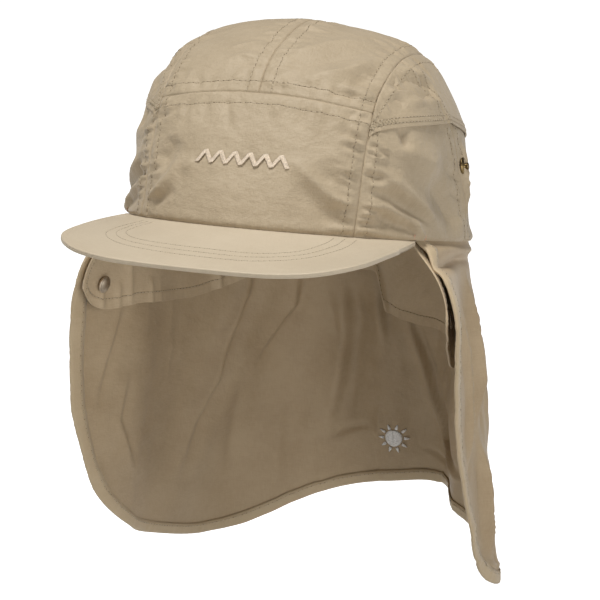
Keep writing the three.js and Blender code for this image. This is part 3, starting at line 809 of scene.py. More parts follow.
def make_mesh(name, vertices, faces, uv=None, material_index=None):
    """Object from points in mm, quads, and flat places in mm."""
    mesh = bpy.data.meshes.new(name)
    faces = np.asarray(faces, np.int32)
    mesh.vertices.add(len(vertices))
    mesh.vertices.foreach_set("co", (np.asarray(vertices) * MM).astype(np.float32).ravel())
    mesh.loops.add(faces.size)
    mesh.loops.foreach_set("vertex_index", faces.ravel())
    mesh.polygons.add(len(faces))
    mesh.polygons.foreach_set("loop_start", np.arange(0, faces.size, 4, dtype=np.int32))
    if material_index is not None:
        mesh.polygons.foreach_set("material_index", np.asarray(material_index, np.int32))
    mesh.update(calc_edges=True)
    mesh.polygons.foreach_set("use_smooth", [True] * len(faces))
    if uv is not None:
        layer = mesh.uv_layers.new(name="Cloth")
        layer.data.foreach_set("uv", np.asarray(uv)[faces.ravel()].astype(np.float32).ravel())
    mesh.validate()
    piece = bpy.data.objects.new(name, mesh)
    bpy.context.scene.collection.objects.link(piece)
    return piece


def grid_faces(rows, columns, first=0):
    index = first + np.arange(rows * columns).reshape(rows, columns)
    corners = (index[:-1, :-1], index[:-1, 1:], index[1:, 1:], index[1:, :-1])
    return np.stack(corners, -1).reshape(-1, 4)


def ring_faces(rings, sides):
    """Quads between rings of points that each close on themselves."""
    index = np.arange(rings * sides).reshape(rings, sides)
    after = np.roll(index, -1, axis=1)
    return np.stack([index[:-1], after[:-1], after[1:], index[1:]], -1).reshape(-1, 4)


def shell(name, outer, inner, flat):
    """Closed sheet between two grids of points; flat holds each point's place on the cloth."""
    rows, columns = outer.shape[:2]
    count = rows * columns
    index = np.arange(count).reshape(rows, columns)
    ring = np.concatenate([index[0, :-1], index[:-1, -1], index[-1, :0:-1], index[:0:-1, 0]])
    after = np.roll(ring, -1)
    wall = np.stack([ring, ring + count, after + count, after], -1)
    faces = np.concatenate(
        [grid_faces(rows, columns), grid_faces(rows, columns, count)[:, ::-1], wall]
    )
    vertices = np.concatenate([outer.reshape(-1, 3), inner.reshape(-1, 3)])
    edge_1, edge_2 = outer[0, 1] - outer[0, 0], outer[1, 0] - outer[0, 0]
    if np.dot(np.cross(edge_1, edge_2), outer[0, 0] - inner[0, 0]) < 0:
        faces = faces[:, ::-1]
    uv = np.concatenate([flat.reshape(-1, 2)] * 2)
    return make_mesh(name, vertices, faces, uv)


# Distances from a sewn edge at which a panel has a line of points, close together where it turns in
# and where its topstitching lies.
SEAM_LINES = np.array(
    [0, 0.15, 0.35, 0.6, 1.0, 1.8, 2.8, 3.8, 4.7, 5.3, 5.65, 6.0, 6.35, 6.8, 7.6]
)


def cloth_steps(length, spacing):
    """Shares from 0 to 1, closer together beside both ends."""
    reach = SEAM_LINES[-1] + spacing
    middle = np.linspace(reach, length - reach, max(int((length - 2 * reach) / spacing), 2))
    return np.concatenate([SEAM_LINES, middle, length - SEAM_LINES[::-1]]) / length


def ripple(along, length, seed):
    """Uneven waves of about one length, from -1 to 1."""
    rng = np.random.default_rng(seed)
    total = 0
    for share in (0.72, 0.9, 1.2, 1.7):
        wave = 2 * np.pi * along / (length * share)
        total = total + np.sin(wave + rng.uniform(0, 2 * np.pi))
    return total / 2.6


def soft_noise(p, size, seed):
    """Smooth uneven swelling from about -1 to 1; size is the width of its swellings in mm."""
    rng = np.random.default_rng(seed)
    total = 0
    for _ in range(9):
        way = rng.normal(size=p.shape[-1])
        way = way / np.linalg.norm(way) / (size * rng.uniform(1.3, 2.6))
        total = total + np.sin(2 * np.pi * (p @ way) + rng.uniform(0, 2 * np.pi))
    return total / 3.5


def swelling(p, layers):
    """Sum of soft noises, each with a rise, a size in mm and a seed."""
    return sum(rise * soft_noise(p, size, seed) for rise, size, seed in layers)


def crease(rise, width, *path):
    """A soft ridge, or a hollow where rise is negative, that runs along a short path in mm."""
    return rise * CREASE_STRENGTH, width, np.array(path, float)


def crease_height(p, creases, stepped=False):
    """Height that all the creases give at the points, each fading out at both its ends.

    A stepped one, on the flat only, rises on one side of its path and sinks on the other.
    """
    height = np.zeros(p.shape[:-1])
    for rise, width, path in creases:
        lengths = lengths_along(path)
        nearest = np.full(p.shape[:-1], np.inf)
        place = np.zeros(p.shape[:-1])
        beside = np.ones(p.shape[:-1])
        for k, leg in enumerate(np.diff(path, axis=0)):
            share = np.clip((p - path[k]) @ leg / (leg @ leg), 0, 1)
            away = np.linalg.norm(p - path[k] - share[..., None] * leg, axis=-1)
            closer = away < nearest
            nearest = np.where(closer, away, nearest)
            if stepped:
                beside = np.where(closer, (p - path[k]) @ [leg[1], -leg[0]], beside)
            place = np.where(closer, mix(lengths[k], lengths[k + 1], share) / lengths[-1], place)
        fade = smooth(place, 0, 0.35) * (1 - smooth(place, 0.65, 1))
        shape = np.sign(beside) * nearest / width if stepped else 1
        height += rise * fade * shape * np.exp(-((nearest / width) ** CREASE_CREST))
    return height


class Panel:
    """A grid of points on one cloth, with its normals and its own flat lengths in mm."""

    def __init__(self, points, normals):
        self.points = points
        self.normals = normals
        across = np.linalg.norm(np.diff(points, axis=1), axis=-1)
        up = np.linalg.norm(np.diff(points, axis=0), axis=-1)
        self.u = np.pad(np.cumsum(across, 1), ((0, 0), (1, 0)))
        self.v = np.pad(np.cumsum(up, 0), ((1, 0), (0, 0)))

    def away(self, edge):
        """Distance from an edge of the grid along the cloth."""
        return {
            "bottom": self.v,
            "top": self.v[-1] - self.v,
            "left": self.u,
            "right": self.u[:, -1:] - self.u,
        }[edge]

    def flat(self):
        return np.stack([self.u, self.v], -1)

    def size(self):
        return float(self.u[:, -1].mean()), float(self.v[-1].mean())

    def raised(self, height):
        return self.points + self.normals * height[..., None]

    def line(self, surface, edge, distance):
        """Points and normals of a surface on this grid, along the line at a distance from an edge."""
        axis = 0 if edge in ("bottom", "top") else 1
        away = np.moveaxis(self.away(edge), axis, -1)
        values = np.moveaxis(np.concatenate([surface, self.normals], -1), axis, 1)
        if edge in ("top", "right"):
            away, values = away[:, ::-1], values[:, ::-1]
        found = [[np.interp(distance, a, column) for column in v.T] for a, v in zip(away, values)]
        found = np.array(found)
        return found[:, :3], unit(found[:, 3:])


def seam_relief(away, along, pucker, seed):
    """Turned-in edge, flat allowance, stitch groove and gathers beside a sewn seam."""
    edge = -SEAM_DEPTH * bell(away, 0, SEAM_ROUND)
    layers = ALLOWANCE_RISE * smooth(away, 0.2, 1.2) * (1 - smooth(away, TOPSTITCH, TOPSTITCH + 1.2))
    groove = -STITCH_DIP * bell(away, TOPSTITCH, GROOVE_WIDTH)
    beyond = np.maximum(away - TOPSTITCH, 0)
    patches = 0.5 + 0.5 * ripple(along, 38, seed + 3)
    slanted = along + 0.25 * away * np.sin(along / 17 + seed)
    near = ripple(slanted, 3.6, seed) * bell(beyond, 0, 2.2) * smooth(away, 0, 2)
    far = ripple(slanted, 8.5, seed + 1) * bell(beyond, 0, PUCKER_REACH) * smooth(away, 0, 5)
    gathers = PUCKER_STRENGTH * pucker * patches * (0.6 * near + far)
    return edge + layers + groove + gathers


def seam_wrinkles(away, along, seed):
    """Short uneven creases that run from a seam into the panel."""
    rng = np.random.default_rng(seed)
    place, end = along.min(), along.max()
    creases = []
    while place < end:
        place += rng.uniform(3, 8)
        rise = WRINKLE_STRENGTH * rng.uniform(0.3, 1) * rng.choice([-1, 1])
        reach, slant = rng.uniform(9, 22), rng.uniform(-8, 8)
        creases.append(crease(rise, rng.uniform(1, 2.2), (0, place), (reach, place + slant)))
    return crease_height(np.stack([away, along], -1), creases)


# Materials


def rgb(red, green, blue):
    """Linear colour from the usual 0 to 255 numbers."""
    return tuple((c / 255) ** 2.2 for c in (red, green, blue)) + (1.0,)


class Nodes:
    """Small helper for building one material's node tree."""

    def __init__(self, name, roughness, metallic=0.0):
        self.material = bpy.data.materials.new(name)
        self.material.use_nodes = True
        self.tree = self.material.node_tree
        self.shader = self.tree.nodes["Principled BSDF"]
        self.shader.inputs["Roughness"].default_value = roughness
        self.shader.inputs["Metallic"].default_value = metallic

    def add(self, kind, **inputs):
        node = self.tree.nodes.new(kind)
        for key, value in inputs.items():
            self.put(node, key.replace("_", " "), value)
        return node

    def put(self, node, key, value):
        if isinstance(value, bpy.types.NodeSocket):
            self.tree.links.new(value, node.inputs[key])
        else:
            node.inputs[key].default_value = value

    def noise(self, vector, scale, detail=2.0, roughness=0.5):
        node = self.add("ShaderNodeTexNoise", Scale=scale, Detail=detail, Roughness=roughness)
        self.tree.links.new(vector, node.inputs["Vector"])
        return node.outputs["Fac"]

    def ramp(self, value, *stops):
        node = self.tree.nodes.new("ShaderNodeValToRGB")
        for element, (position, colour) in zip(node.color_ramp.elements, stops):
            element.position = position
            element.color = colour
        self.tree.links.new(value, node.inputs["Fac"])
        return node.outputs["Color"]

    def maths(self, operation, first, second):
        node = self.tree.nodes.new("ShaderNodeMath")
        node.operation = operation
        self.put(node, 0, first)
        self.put(node, 1, second)
        return node.outputs[0]

    def bump(self, height, distance, strength=1.0, normal=None):
        node = self.add("ShaderNodeBump", Strength=strength, Distance=distance, Height=height)
        if normal is not None:
            self.tree.links.new(normal, node.inputs["Normal"])
        return node.outputs["Normal"]


def cloth_material(name, pale, deep, roughness=0.6, crumple=1.0):
    """Plain-woven nylon: crossing threads, soft blotches and small creases on the cloth's own flat."""
    n = Nodes(name, roughness)
    place = n.tree.nodes.new("ShaderNodeUVMap")
    place.uv_map = "Cloth"
    flat = place.outputs["UV"]

    def stretched(across, up):
        node = n.tree.nodes.new("ShaderNodeMapping")
        node.inputs["Scale"].default_value = (across, up, 1)
        n.tree.links.new(flat, node.inputs["Vector"])
        return node.outputs["Vector"]

    warp = n.noise(stretched(*WEAVE), 1.0, 2.0, 0.6)
    weft = n.noise(stretched(*WEAVE[::-1]), 1.0, 2.0, 0.6)
    threads = n.maths("ADD", warp, weft)
    blotches = n.noise(flat, 0.045, 3.0, 0.55)
    fine = n.noise(flat, 0.35, 2.0, 0.6)
    tone = n.maths("MULTIPLY", threads, TONE_THREADS)
    tone = n.maths("ADD", tone, n.maths("MULTIPLY", blotches, TONE_BLOTCHES))
    tone = n.maths("ADD", tone, n.maths("MULTIPLY", fine, TONE_FINE))
    n.put(n.shader, "Base Color", n.ramp(tone, (0.36, deep), (0.68, pale)))
    n.shader.inputs["Sheen Weight"].default_value = 0.08
    n.shader.inputs["Sheen Roughness"].default_value = 0.45
    n.shader.inputs["Specular IOR Level"].default_value = 0.35
    weave = n.bump(threads, 0.0001, 0.5)
    creases = n.bump(n.noise(flat, 0.18, 4.0, 0.65), 0.0016 * crumple, 0.6, weave)
    swell = n.bump(n.noise(flat, 0.05, 2.0, 0.5), 0.0022 * crumple, 0.6, creases)
    n.put(n.shader, "Normal", swell)
    return n.material


def thread_material(name, colour, roughness=0.55):
    n = Nodes(name, roughness)
    place = n.tree.nodes.new("ShaderNodeTexCoord")
    twist = n.noise(place.outputs["Object"], 1400.0, 1.0, 0.5)
    dark = tuple(c * 0.72 for c in colour[:3]) + (1.0,)
    n.put(n.shader, "Base Color", n.ramp(twist, (0.3, dark), (0.7, colour)))
    n.put(n.shader, "Normal", n.bump(twist, 0.0001, 0.6))
    n.shader.inputs["Sheen Weight"].default_value = 0.15
    return n.material


def metal_material(name, pale, deep, roughness):
    """Dull cast metal with soft tarnish and fine handling marks."""
    n = Nodes(name, roughness, 1.0)
    place = n.tree.nodes.new("ShaderNodeTexCoord")
    tarnish = n.noise(place.outputs["Object"], 260.0, 3.0, 0.6)
    marks = n.noise(place.outputs["Object"], 2600.0, 2.0, 0.6)
    n.put(n.shader, "Base Color", n.ramp(tarnish, (0.35, deep), (0.65, pale)))
    low = n.maths("MULTIPLY", marks, 0.25)
    n.put(n.shader, "Roughness", n.maths("ADD", low, roughness - 0.12))
    n.put(n.shader, "Normal", n.bump(marks, 0.00005, 0.5))
    return n.material


CLOTH_PALE = rgb(174, 157, 131)
CLOTH_DEEP = rgb(158, 141, 115)
FLAP_PALE = rgb(175, 154, 124)
FLAP_DEEP = rgb(160, 138, 108)
SKIRT_PALE = rgb(190, 170, 140)
SKIRT_DEEP = rgb(176, 154, 124)
BINDING_PALE = rgb(188, 168, 137)
BINDING_DEEP = rgb(178, 157, 126)
# The peak is the crown's cloth, painted paler and greyer for the sheen and the stronger light on its
# upturned top.
PEAK_SHEEN_PALE = rgb(192, 177, 153)
PEAK_SHEEN_DEEP = rgb(182, 166, 141)
# Dark brown for the strands between stitches: painted shade in the needle holes.
HOLE_SHADE_BROWN = rgb(112, 94, 70)

MATERIALS = {
    "crown_cloth": cloth_material("crown_cloth", CLOTH_PALE, CLOTH_DEEP),
    # Paler peak colours: painted sheen and light on the upturned peak.
    "peak_cloth": cloth_material("peak_cloth", PEAK_SHEEN_PALE, PEAK_SHEEN_DEEP, 0.55, 0.15),
    "flap_cloth": cloth_material("flap_cloth", FLAP_PALE, FLAP_DEEP, 0.6, 0.5),
    "binding_cloth": cloth_material("binding_cloth", BINDING_PALE, BINDING_DEEP, 0.6, 0.3),
    "skirt_cloth": cloth_material("skirt_cloth", SKIRT_PALE, SKIRT_DEEP, 0.6, 0.5),
    "snap_metal": metal_material("snap_metal", rgb(206, 192, 172), rgb(166, 150, 130), 0.5),
    "stud_metal": metal_material("stud_metal", rgb(150, 128, 88), rgb(98, 82, 56), 0.35),
}
THREAD = thread_material("thread", rgb(186, 169, 140))
PEAK_THREAD = thread_material("peak_thread", rgb(196, 181, 156))
FRONT_THREAD = thread_material("front_motif_thread", rgb(232, 214, 190))
EMBLEM_THREAD = thread_material("emblem_thread", rgb(253, 251, 247))
TACK_THREAD = thread_material("tack_thread", rgb(200, 160, 132))
# Material of the dark strands that paint the shade in the needle holes.
HOLE_SHADE = thread_material("painted_hole_shade", HOLE_SHADE_BROWN, 0.9)


def dress(piece, slot, *nodes, material=None):
    """Gives a piece the material of its slot and the root body, and hides the solids it stands for."""
    piece.data.materials.append(material or MATERIALS[slot])
    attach(piece, "root")
    if nodes:
        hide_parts(*nodes)
    return piece


# Rounded strand with its ends drawn in: share of the half length and share of the radius.
STRAND_RINGS = ((-1.0, 0.4), (-0.6, 1.0), (0.6, 1.0), (1.0, 0.4))
STRAND_SIDES = 4


def strand_faces():
    """Quads of one strand, with a quad over each end."""
    last = (len(STRAND_RINGS) - 1) * STRAND_SIDES
    ends = [(3, 2, 1, 0), (last, last + 1, last + 2, last + 3)]
    return np.concatenate([ring_faces(len(STRAND_RINGS), STRAND_SIDES), ends])


class Sewing:
    """Stitches gathered into one mesh: threads in slot 0, and in slot 1 dark strands that paint the
    shade in the needle holes.
    """

    def __init__(self):
        self.vertices, self.faces, self.slots = [], [], []
        self.count = 0

    def strands(self, centres, ways, ups, half_length, radius, slot=0):
        """Short rounded strands, one for each centre."""
        turn = 2 * np.pi * np.arange(STRAND_SIDES) / STRAND_SIDES
        beside = unit(np.cross(ways, ups))
        half_length = np.broadcast_to(half_length, len(centres))[:, None]
        around = beside[:, None] * np.cos(turn)[:, None] + ups[:, None] * np.sin(turn)[:, None]
        rings = [
            (centres + ways * half_length * share)[:, None] + around * radius * size
            for share, size in STRAND_RINGS
        ]
        vertices = np.stack(rings, 1).reshape(-1, 3)
        total = len(STRAND_RINGS) * STRAND_SIDES
        faces = (strand_faces()[None] + total * np.arange(len(centres))[:, None, None]).reshape(-1, 4)
        self.vertices.append(vertices)
        self.faces.append(faces + self.count)
        self.slots.append(np.full(len(faces), slot))
        self.count += len(vertices)

    def row(self, path, normals, pitch=STITCH_PITCH, radius=STITCH_RADIUS):
        """A row of running stitches along a path that lies on the cloth, with dark strands between them
        that paint the shade in its needle holes.
        """
        lengths = lengths_along(path)
        count = int(lengths[-1] / pitch)
        middles = (np.arange(count) + 0.5) * lengths[-1] / count
        long = pitch * STITCH_SHARE
        gaps = middles[:-1] + np.diff(middles) / 2

        def placed(places, half):
            before, centre, after = (
                at_lengths(path, lengths, places + shift) for shift in (-half, 0, half)
            )
            return centre, unit(after - before), unit(at_lengths(normals, lengths, places))

        centres, ways, ups = placed(middles, long / 2)
        self.strands(centres + ups * radius * 0.3, ways, ups, long / 2, radius)
        # Dark strands in the gaps between stitches: painted shade of the needle holes.
        self.strands(*placed(gaps, 0.2), (pitch - long) * 0.42, radius * 0.8, 1)

    def finish(self, name, slot, tilt=True, thread=THREAD):
        vertices = np.concatenate(self.vertices)
        vertices = worn(vertices) if tilt else vertices
        slots = np.concatenate(self.slots)
        piece = make_mesh(name, vertices, np.concatenate(self.faces), material_index=slots)
        dress(piece, slot, material=thread)
        # Slot 1 holds the painted shade of the needle holes.
        piece.data.materials.append(HOLE_SHADE)
        return piece


# Crown


# Rough width and height of each crown panel in mm, by which its grid is spaced.
PANEL_SIZES = {
    "front": (STRIP_WIDTH, 66),
    "back": (STRIP_WIDTH, 60),
    "strip": (SEAM, 190),
    "side_front": (100, 90),
    "side_rear": (105, 90),
    "yoke": (190, 45),
}


def crown_panel_grid(at, kind, mirrored=False):
    across, up = np.meshgrid(*(cloth_steps(length, PANEL_SPACING) for length in PANEL_SIZES[kind]))
    points = at(across, up)
    normals = crown_normal(points)
    if mirrored:
        points[..., 0] *= -1
        normals[..., 0] *= -1
    return Panel(points + normals * swell_at(points)[..., None], normals)


def over_length(p):
    """Place along a strip seam, which runs over the head from the front of the rim."""
    return HALF_LENGTH * angle_over(p)


def by_x(p):
    return p[..., 0]


def by_height(p):
    return p[..., 2]


# Folds of the worn crown in the rim's frame: rise and width, then the points of the path.
FRONT_CREASES = [
    crease(-1.2, 5.5, (-45, -82, 24), (-40, -84, 31), (-35, -84, 39)),
    crease(1.5, 3.4, (-46, -85, 9), (-35, -89, 20), (-29, -88, 33)),
    crease(0.7, 2.6, (-30, -91, 23), (-22, -92, 29)),
    crease(0.9, 1.9, (-51, -81, 8), (-36, -89, 15)),
    crease(-0.7, 2.4, (-46, -87, 6), (-29, -92, 15)),
    crease(-0.9, 4.0, (-63, -66, 12), (-62, -64, 31)),
    crease(1.3, 3.8, (20, -91, 34), (37, -88, 21), (53, -79, 10)),
    crease(-0.8, 4.5, (33, -87, 31), (43, -84, 22), (51, -79, 17)),
    crease(-1.1, 6.5, (24, -92, 22), (41, -88, 10), (52, -80, 6)),
    crease(0.5, 1.5, (39, -78, 52), (52, -72, 47)),
    crease(0.6, 1.6, (38, -80, 46), (53, -73, 41)),
    crease(0.5, 1.5, (37, -82, 41), (53, -74, 34)),
    crease(0.8, 1.8, (36, -84, 37), (46, -80, 32), (53, -76, 28)),
    crease(0.5, 1.5, (40, -84, 28), (53, -77, 22)),
    crease(0.7, 1.6, (38, -86, 24), (52, -78, 18)),
    crease(0.6, 1.5, (41, -86, 17), (53, -79, 13)),
    crease(0.5, 1.4, (44, -85, 10), (53, -79, 9)),
]
SIDE_CREASES = [
    crease(1.7, 3.8, (53, -74, 34), (67, -58, 23), (80, -28, 6)),
    crease(1.5, 3.2, (52, -77, 19), (66, -61, 12), (79, -33, 4)),
    crease(-1.4, 3.4, (57, -72, 23), (68, -56, 15), (78, -36, 5)),
    crease(-1.2, 4.0, (56, -74, 11), (66, -61, 7), (73, -50, 3)),
    crease(0.9, 1.5, (53, -77, 15), (62, -67, 13)),
    crease(0.8, 1.4, (53, -78, 11), (61, -69, 10)),
    crease(0.9, 1.5, (54, -75, 24), (63, -65, 23)),
    crease(0.8, 1.4, (53, -73, 36), (62, -65, 36)),
    crease(0.8, 1.3, (54, -71, 41), (61, -64, 40)),
    crease(-1.4, 3.4, (64, -57, 53), (66, -56, 40)),
    crease(1.4, 7.0, (57, -68, 43), (68, -52, 39), (79, -22, 32)),
    crease(-2.2, 8.0, (73, -43, 31), (79, -21, 17), (83, -8, 3)),
    crease(1.2, 1.7, (70, -54, 10), (74, -48, 3), (76, -44, -1)),
    crease(-0.9, 1.7, (69, -57, 9), (73, -50, 1)),
    crease(1.8, 3.0, (75, 4, 52), (79, 2, 30), (82, 6, 8)),
    crease(-1.4, 4.0, (74, 12, 50), (78, 12, 30), (81, 16, 8)),
]
YOKE_CREASES = [
    crease(0.8, 2.8, (53, -41, 78), (58, -30, 78), (64, -17, 76)),
    crease(-1.4, 3.4, (53, -54, 70), (59, -43, 71), (65, -27, 72)),
    crease(0.8, 2.3, (53, -58, 67), (60, -48, 68), (64, -34, 70)),
    crease(-1.6, 3.6, (65, -41, 66), (65, -31, 69), (65, -18, 73)),
    crease(1.0, 3.2, (60, -56, 61), (66, -39, 64), (71, -14, 66)),
    crease(-0.9, 3.5, (58, -61, 57), (62, -49, 66)),
]
STRIP_CREASES = [
    crease(1.2, 4.4, (14, -77, 67), (36, -63, 75), (49, -35, 84)),
    crease(-0.9, 5.5, (6, -71, 75), (23, -62, 79), (38, -48, 83)),
    crease(0.7, 4.5, (3, -67, 78), (22, -47, 88), (38, -27, 91)),
    crease(-1.1, 4.8, (38, -70, 66), (45, -58, 73), (49, -42, 80)),
    crease(0.9, 2.2, (34, -71, 69), (43, -67, 66), (52, -63, 61)),
    crease(-0.7, 2.0, (32, -74, 66), (46, -68, 63)),
    crease(0.6, 1.6, (41, -66, 70), (51, -63, 65)),
    crease(0.4, 2.0, (-24, -67, 76), (-7, -62, 81)),
    crease(0.4, 2.0, (-26, -58, 82), (-9, -51, 87)),
]


def other_side(creases):
    """The same folds on the other side of the head, a little weaker."""
    return [(rise * FAR_SIDE_FOLDS, width, path * [-1, 1, 1]) for rise, width, path in creases]


CROWN_CREASES = FRONT_CREASES + STRIP_CREASES + SIDE_CREASES + other_side(SIDE_CREASES)
BOTH_YOKE_CREASES = YOKE_CREASES + other_side(YOKE_CREASES)

crown_sewing = Sewing()


def rim_roll(panel):
    """The crown's lower edge turns in over the peak and the flap, with a soft fold above it."""
    away = panel.away("bottom")
    return RIM_FOLD * bell(away, 3, 2) - RIM_TURN * bell(away, 0, RIM_TURN)


def build_crown_panel(name, panel, seams, extra=0):
    """Relief, shell and topstitching of one crown panel.

    Each seam has an edge, a way to measure along it, the strength of its gathers and a seed.
    """
    p = panel.points
    height = swelling(p, CROWN_NOISE)
    for edge, *_ in seams:
        height = height * smooth(panel.away(edge), -0.5, 6.0)
    height = height + crease_height(p, CROWN_CREASES) + extra
    for edge, along, pucker, seed in seams:
        height = height + seam_relief(panel.away(edge), along(p), pucker, seed)
        beside = panel.u if edge in ("top", "bottom") else panel.v
        height = height + seam_wrinkles(panel.away(edge), beside, seed + len(name))
    outer = panel.raised(height)
    inner = panel.raised(np.minimum(height, 0) - CROWN_WALL * INNER_SHARE)
    inner[..., 2] = np.maximum(inner[..., 2], 0)
    piece = shell(f"{name}_cloth", worn(outer), worn(inner), panel.flat())
    dress(piece, "crown_cloth", name)
    panel.size()
    for edge, *_ in seams:
        crown_sewing.row(*panel.line(outer, edge, TOPSTITCH))


def build_middle_panels():
    front = crown_panel_grid(front_panel_point, "front")
    seams = [("top", by_x, 0.14, 11), ("left", over_length, 0.3, 21), ("right", over_length, 0.3, 22)]
    build_crown_panel("crown_front_panel", front, seams, rim_roll(front))
    back = crown_panel_grid(back_panel_point, "back")
    seams = [("top", by_x, 0.14, 12), ("left", over_length, 0.25, 21), ("right", over_length, 0.25, 22)]
    build_crown_panel("crown_back_panel", back, seams, rim_roll(back))


def build_top_strip(word, side, seed):
    strip = crown_panel_grid(top_strip_point, "strip", side < 0)
    seams = [
        ("bottom", by_x, 0.14, 11),
        ("top", by_x, 0.14, 12),
        ("left", over_length, 0.20, 31),
        ("right", over_length, 0.24, seed),
    ]
    build_crown_panel(f"crown_top_{word}", strip, seams)


def build_side_panels(word, side, seed):
    for is_front, kind in ((True, "side_front"), (False, "side_rear")):
        panel = crown_panel_grid(
            lambda across, up: side_point(is_front, across, up), kind, side < 0
        )
        strip, upright = ("left", "right") if is_front else ("right", "left")
        seams = [
            ("top", over_length, 0.2, seed),
            (strip, over_length, 0.3, seed),
            (upright, by_height, 0.16, 41),
        ]
        above_edge = panel.points[..., 2] - YOKE_EDGE_HEIGHT
        under_yoke = -UNDER_YOKE * smooth(above_edge, 4, 16)
        build_crown_panel(f"crown_{kind}_{word}", panel, seams, rim_roll(panel) + under_yoke)


def build_yoke(word, side, seed, lift):
    """The yoke stands off the side panels at its free lower edge, and has a seam of its own."""
    yoke = crown_panel_grid(yoke_point, "yoke", side < 0)
    p = yoke.points
    free = yoke.away("bottom")
    ends = smooth(yoke.away("left"), 0, 10) * smooth(yoke.away("right"), 0, 8)
    height = (lift[0] + lift[1] * (1 - smooth(free, 0, 10))) * (0.3 + 0.7 * ends)
    for edge in ("top", "left", "right"):
        height = height + seam_relief(yoke.away(edge), over_length(p), 0.22, seed)
    column = int(np.argmin(np.abs(yoke.u[0] / yoke.u[0, -1] - SIDE_SEAM_SHARE)))
    across = yoke.u - yoke.u[:, column : column + 1]
    layers = YOKE_SEAM_RISE * smooth(across, 0, 1.5) * (1 - smooth(across, 5, 12))
    height = height + layers - YOKE_SEAM_DEPTH * bell(across, 0, 0.8)
    for distance in YOKE_ROWS:
        height = height - YOKE_GROOVE * bell(free, distance, GROOVE_WIDTH)
    height = height + swelling(p, YOKE_NOISE) * smooth(free, 2, 12)
    height = height + crease_height(p, BOTH_YOKE_CREASES)
    outer = yoke.raised(height)
    inner = yoke.raised(height - YOKE_CLOTH)
    piece = shell(f"crown_yoke_{word}_cloth", worn(outer), worn(inner), yoke.flat())
    dress(piece, "crown_cloth", f"crown_yoke_{word}")
    yoke.size()
    for distance in YOKE_ROWS:
        crown_sewing.row(*yoke.line(outer, "bottom", distance), YOKE_STITCH_PITCH)
    crown_sewing.row(*yoke.line(outer, "top", TOPSTITCH))
    for beside in (column - YOKE_SEAM_COLUMNS, column + YOKE_SEAM_COLUMNS):
        crown_sewing.row(outer[2:-8, beside], yoke.normals[2:-8, beside])
    bar_tack(yoke, outer)


def bar_tack(yoke, outer):
    """Zigzag that holds the front end of the yoke's free edge down."""
    path, ups = yoke.line(outer, "bottom", (YOKE_ROWS[0] + YOKE_ROWS[1]) / 2)
    lengths = lengths_along(path)
    places = np.arange(BAR_TACK_START, BAR_TACK_LENGTH, BAR_TACK_SPACING)
    centres = at_lengths(path, lengths, places)
    normals = unit(at_lengths(ups, lengths, places))
    along = unit(np.gradient(centres, axis=0))
    slant = np.where(np.arange(len(places)) % 2, BAR_TACK_SLANT, -BAR_TACK_SLANT)[:, None]
    ways = unit(np.cross(normals, along) + along * slant)
    centres = centres + normals * 0.1
    crown_sewing.strands(centres, ways, normals, BAR_TACK_HALF_WIDTH, STITCH_RADIUS)


build_middle_panels()
for side, word, strip_seed, yoke_lift in (
    (1, "left", 22, YOKE_LIFT_LEFT),
    (-1, "right", 21, YOKE_LIFT_RIGHT),
):
    build_top_strip(word, side, strip_seed)
    build_side_panels(word, side, strip_seed)
    build_yoke(word, side, strip_seed, yoke_lift)
crown_sewing.finish("crown_stitches", "crown_cloth")


# Peak


def build_peak():
    """Stiff sewn peak, closed sections from the seam out, round the edge and back underneath."""
    along, out = np.meshgrid(*(np.linspace(0, 1, count) for count in PEAK_GRID))
    top = peak_point(along, out)
    normals = unit(np.cross(np.gradient(top, axis=1), np.gradient(top, axis=0)))
    normals *= np.sign(normals[..., 2:3])
    outward = np.gradient(top[-1], axis=0)
    outward = unit(np.cross(outward, normals[-1]))
    outward *= np.sign(outward[:, 1:2] * -1)
    panel = Panel(top, normals)
    free = panel.away("top")
    top = top - normals * (PEAK_GROOVE * bell(free, 2.6, 0.7))[..., None]
    wall = [
        top[-1] + outward * reach - normals[-1] * down for reach, down in zip(*PEAK_EDGE.values())
    ]
    under = (panel.points - normals * PEAK_WALL)[::-PEAK_UNDER_SKIP]
    sections = np.concatenate([top, wall, under]).transpose(1, 0, 2)
    across, back = (count // 2 for count in PEAK_GRID)
    flat = np.stack(np.meshgrid(lengths_along(sections[across]), panel.u[back]), -1)
    faces = ring_faces(*sections.shape[:2])
    piece = make_mesh("peak_cloth", worn(sections.reshape(-1, 3)), faces, flat.reshape(-1, 2))
    dress(piece, "peak_cloth", "peak")


def peak_rows():
    """Three lines of topstitching that run round the peak inside its edge."""
    sewing = Sewing()
    step = np.linspace(0, PEAK_ROW["step"][-1], 400)
    row = read(PEAK_ROW, "step", step)
    outer = evenly(np.stack([row["x"], row["y"]], -1), 300)
    for distance in PEAK_ROW_INSETS:
        x, y = moved_in(outer, distance).T
        kept = beyond_rim(x, y) > 1.5
        x, y = x[kept], y[kept]
        path = point(x, y, peak_height(x, y))
        step_x = point(x + 0.5, y, peak_height(x + 0.5, y)) - path
        step_y = point(x, y + 0.5, peak_height(x, y + 0.5)) - path
        normals = unit(np.cross(step_x, step_y))
        sewing.row(path, normals, PEAK_STITCH_PITCH, PEAK_STITCH_RADIUS)
    sewing.finish("peak_stitches", "peak_cloth", thread=PEAK_THREAD)


build_peak()
peak_rows()


# Neck flap, its edge strip and the inner skirt


def on_flat(rise, width, *spots):
    """A crease of a hanging cloth along places given by degrees from the front and drop."""
    path = [(math.radians(degrees) * CLOTH_REACH, drop) for degrees, drop in spots]
    return crease(rise * SLACK, width, *path)


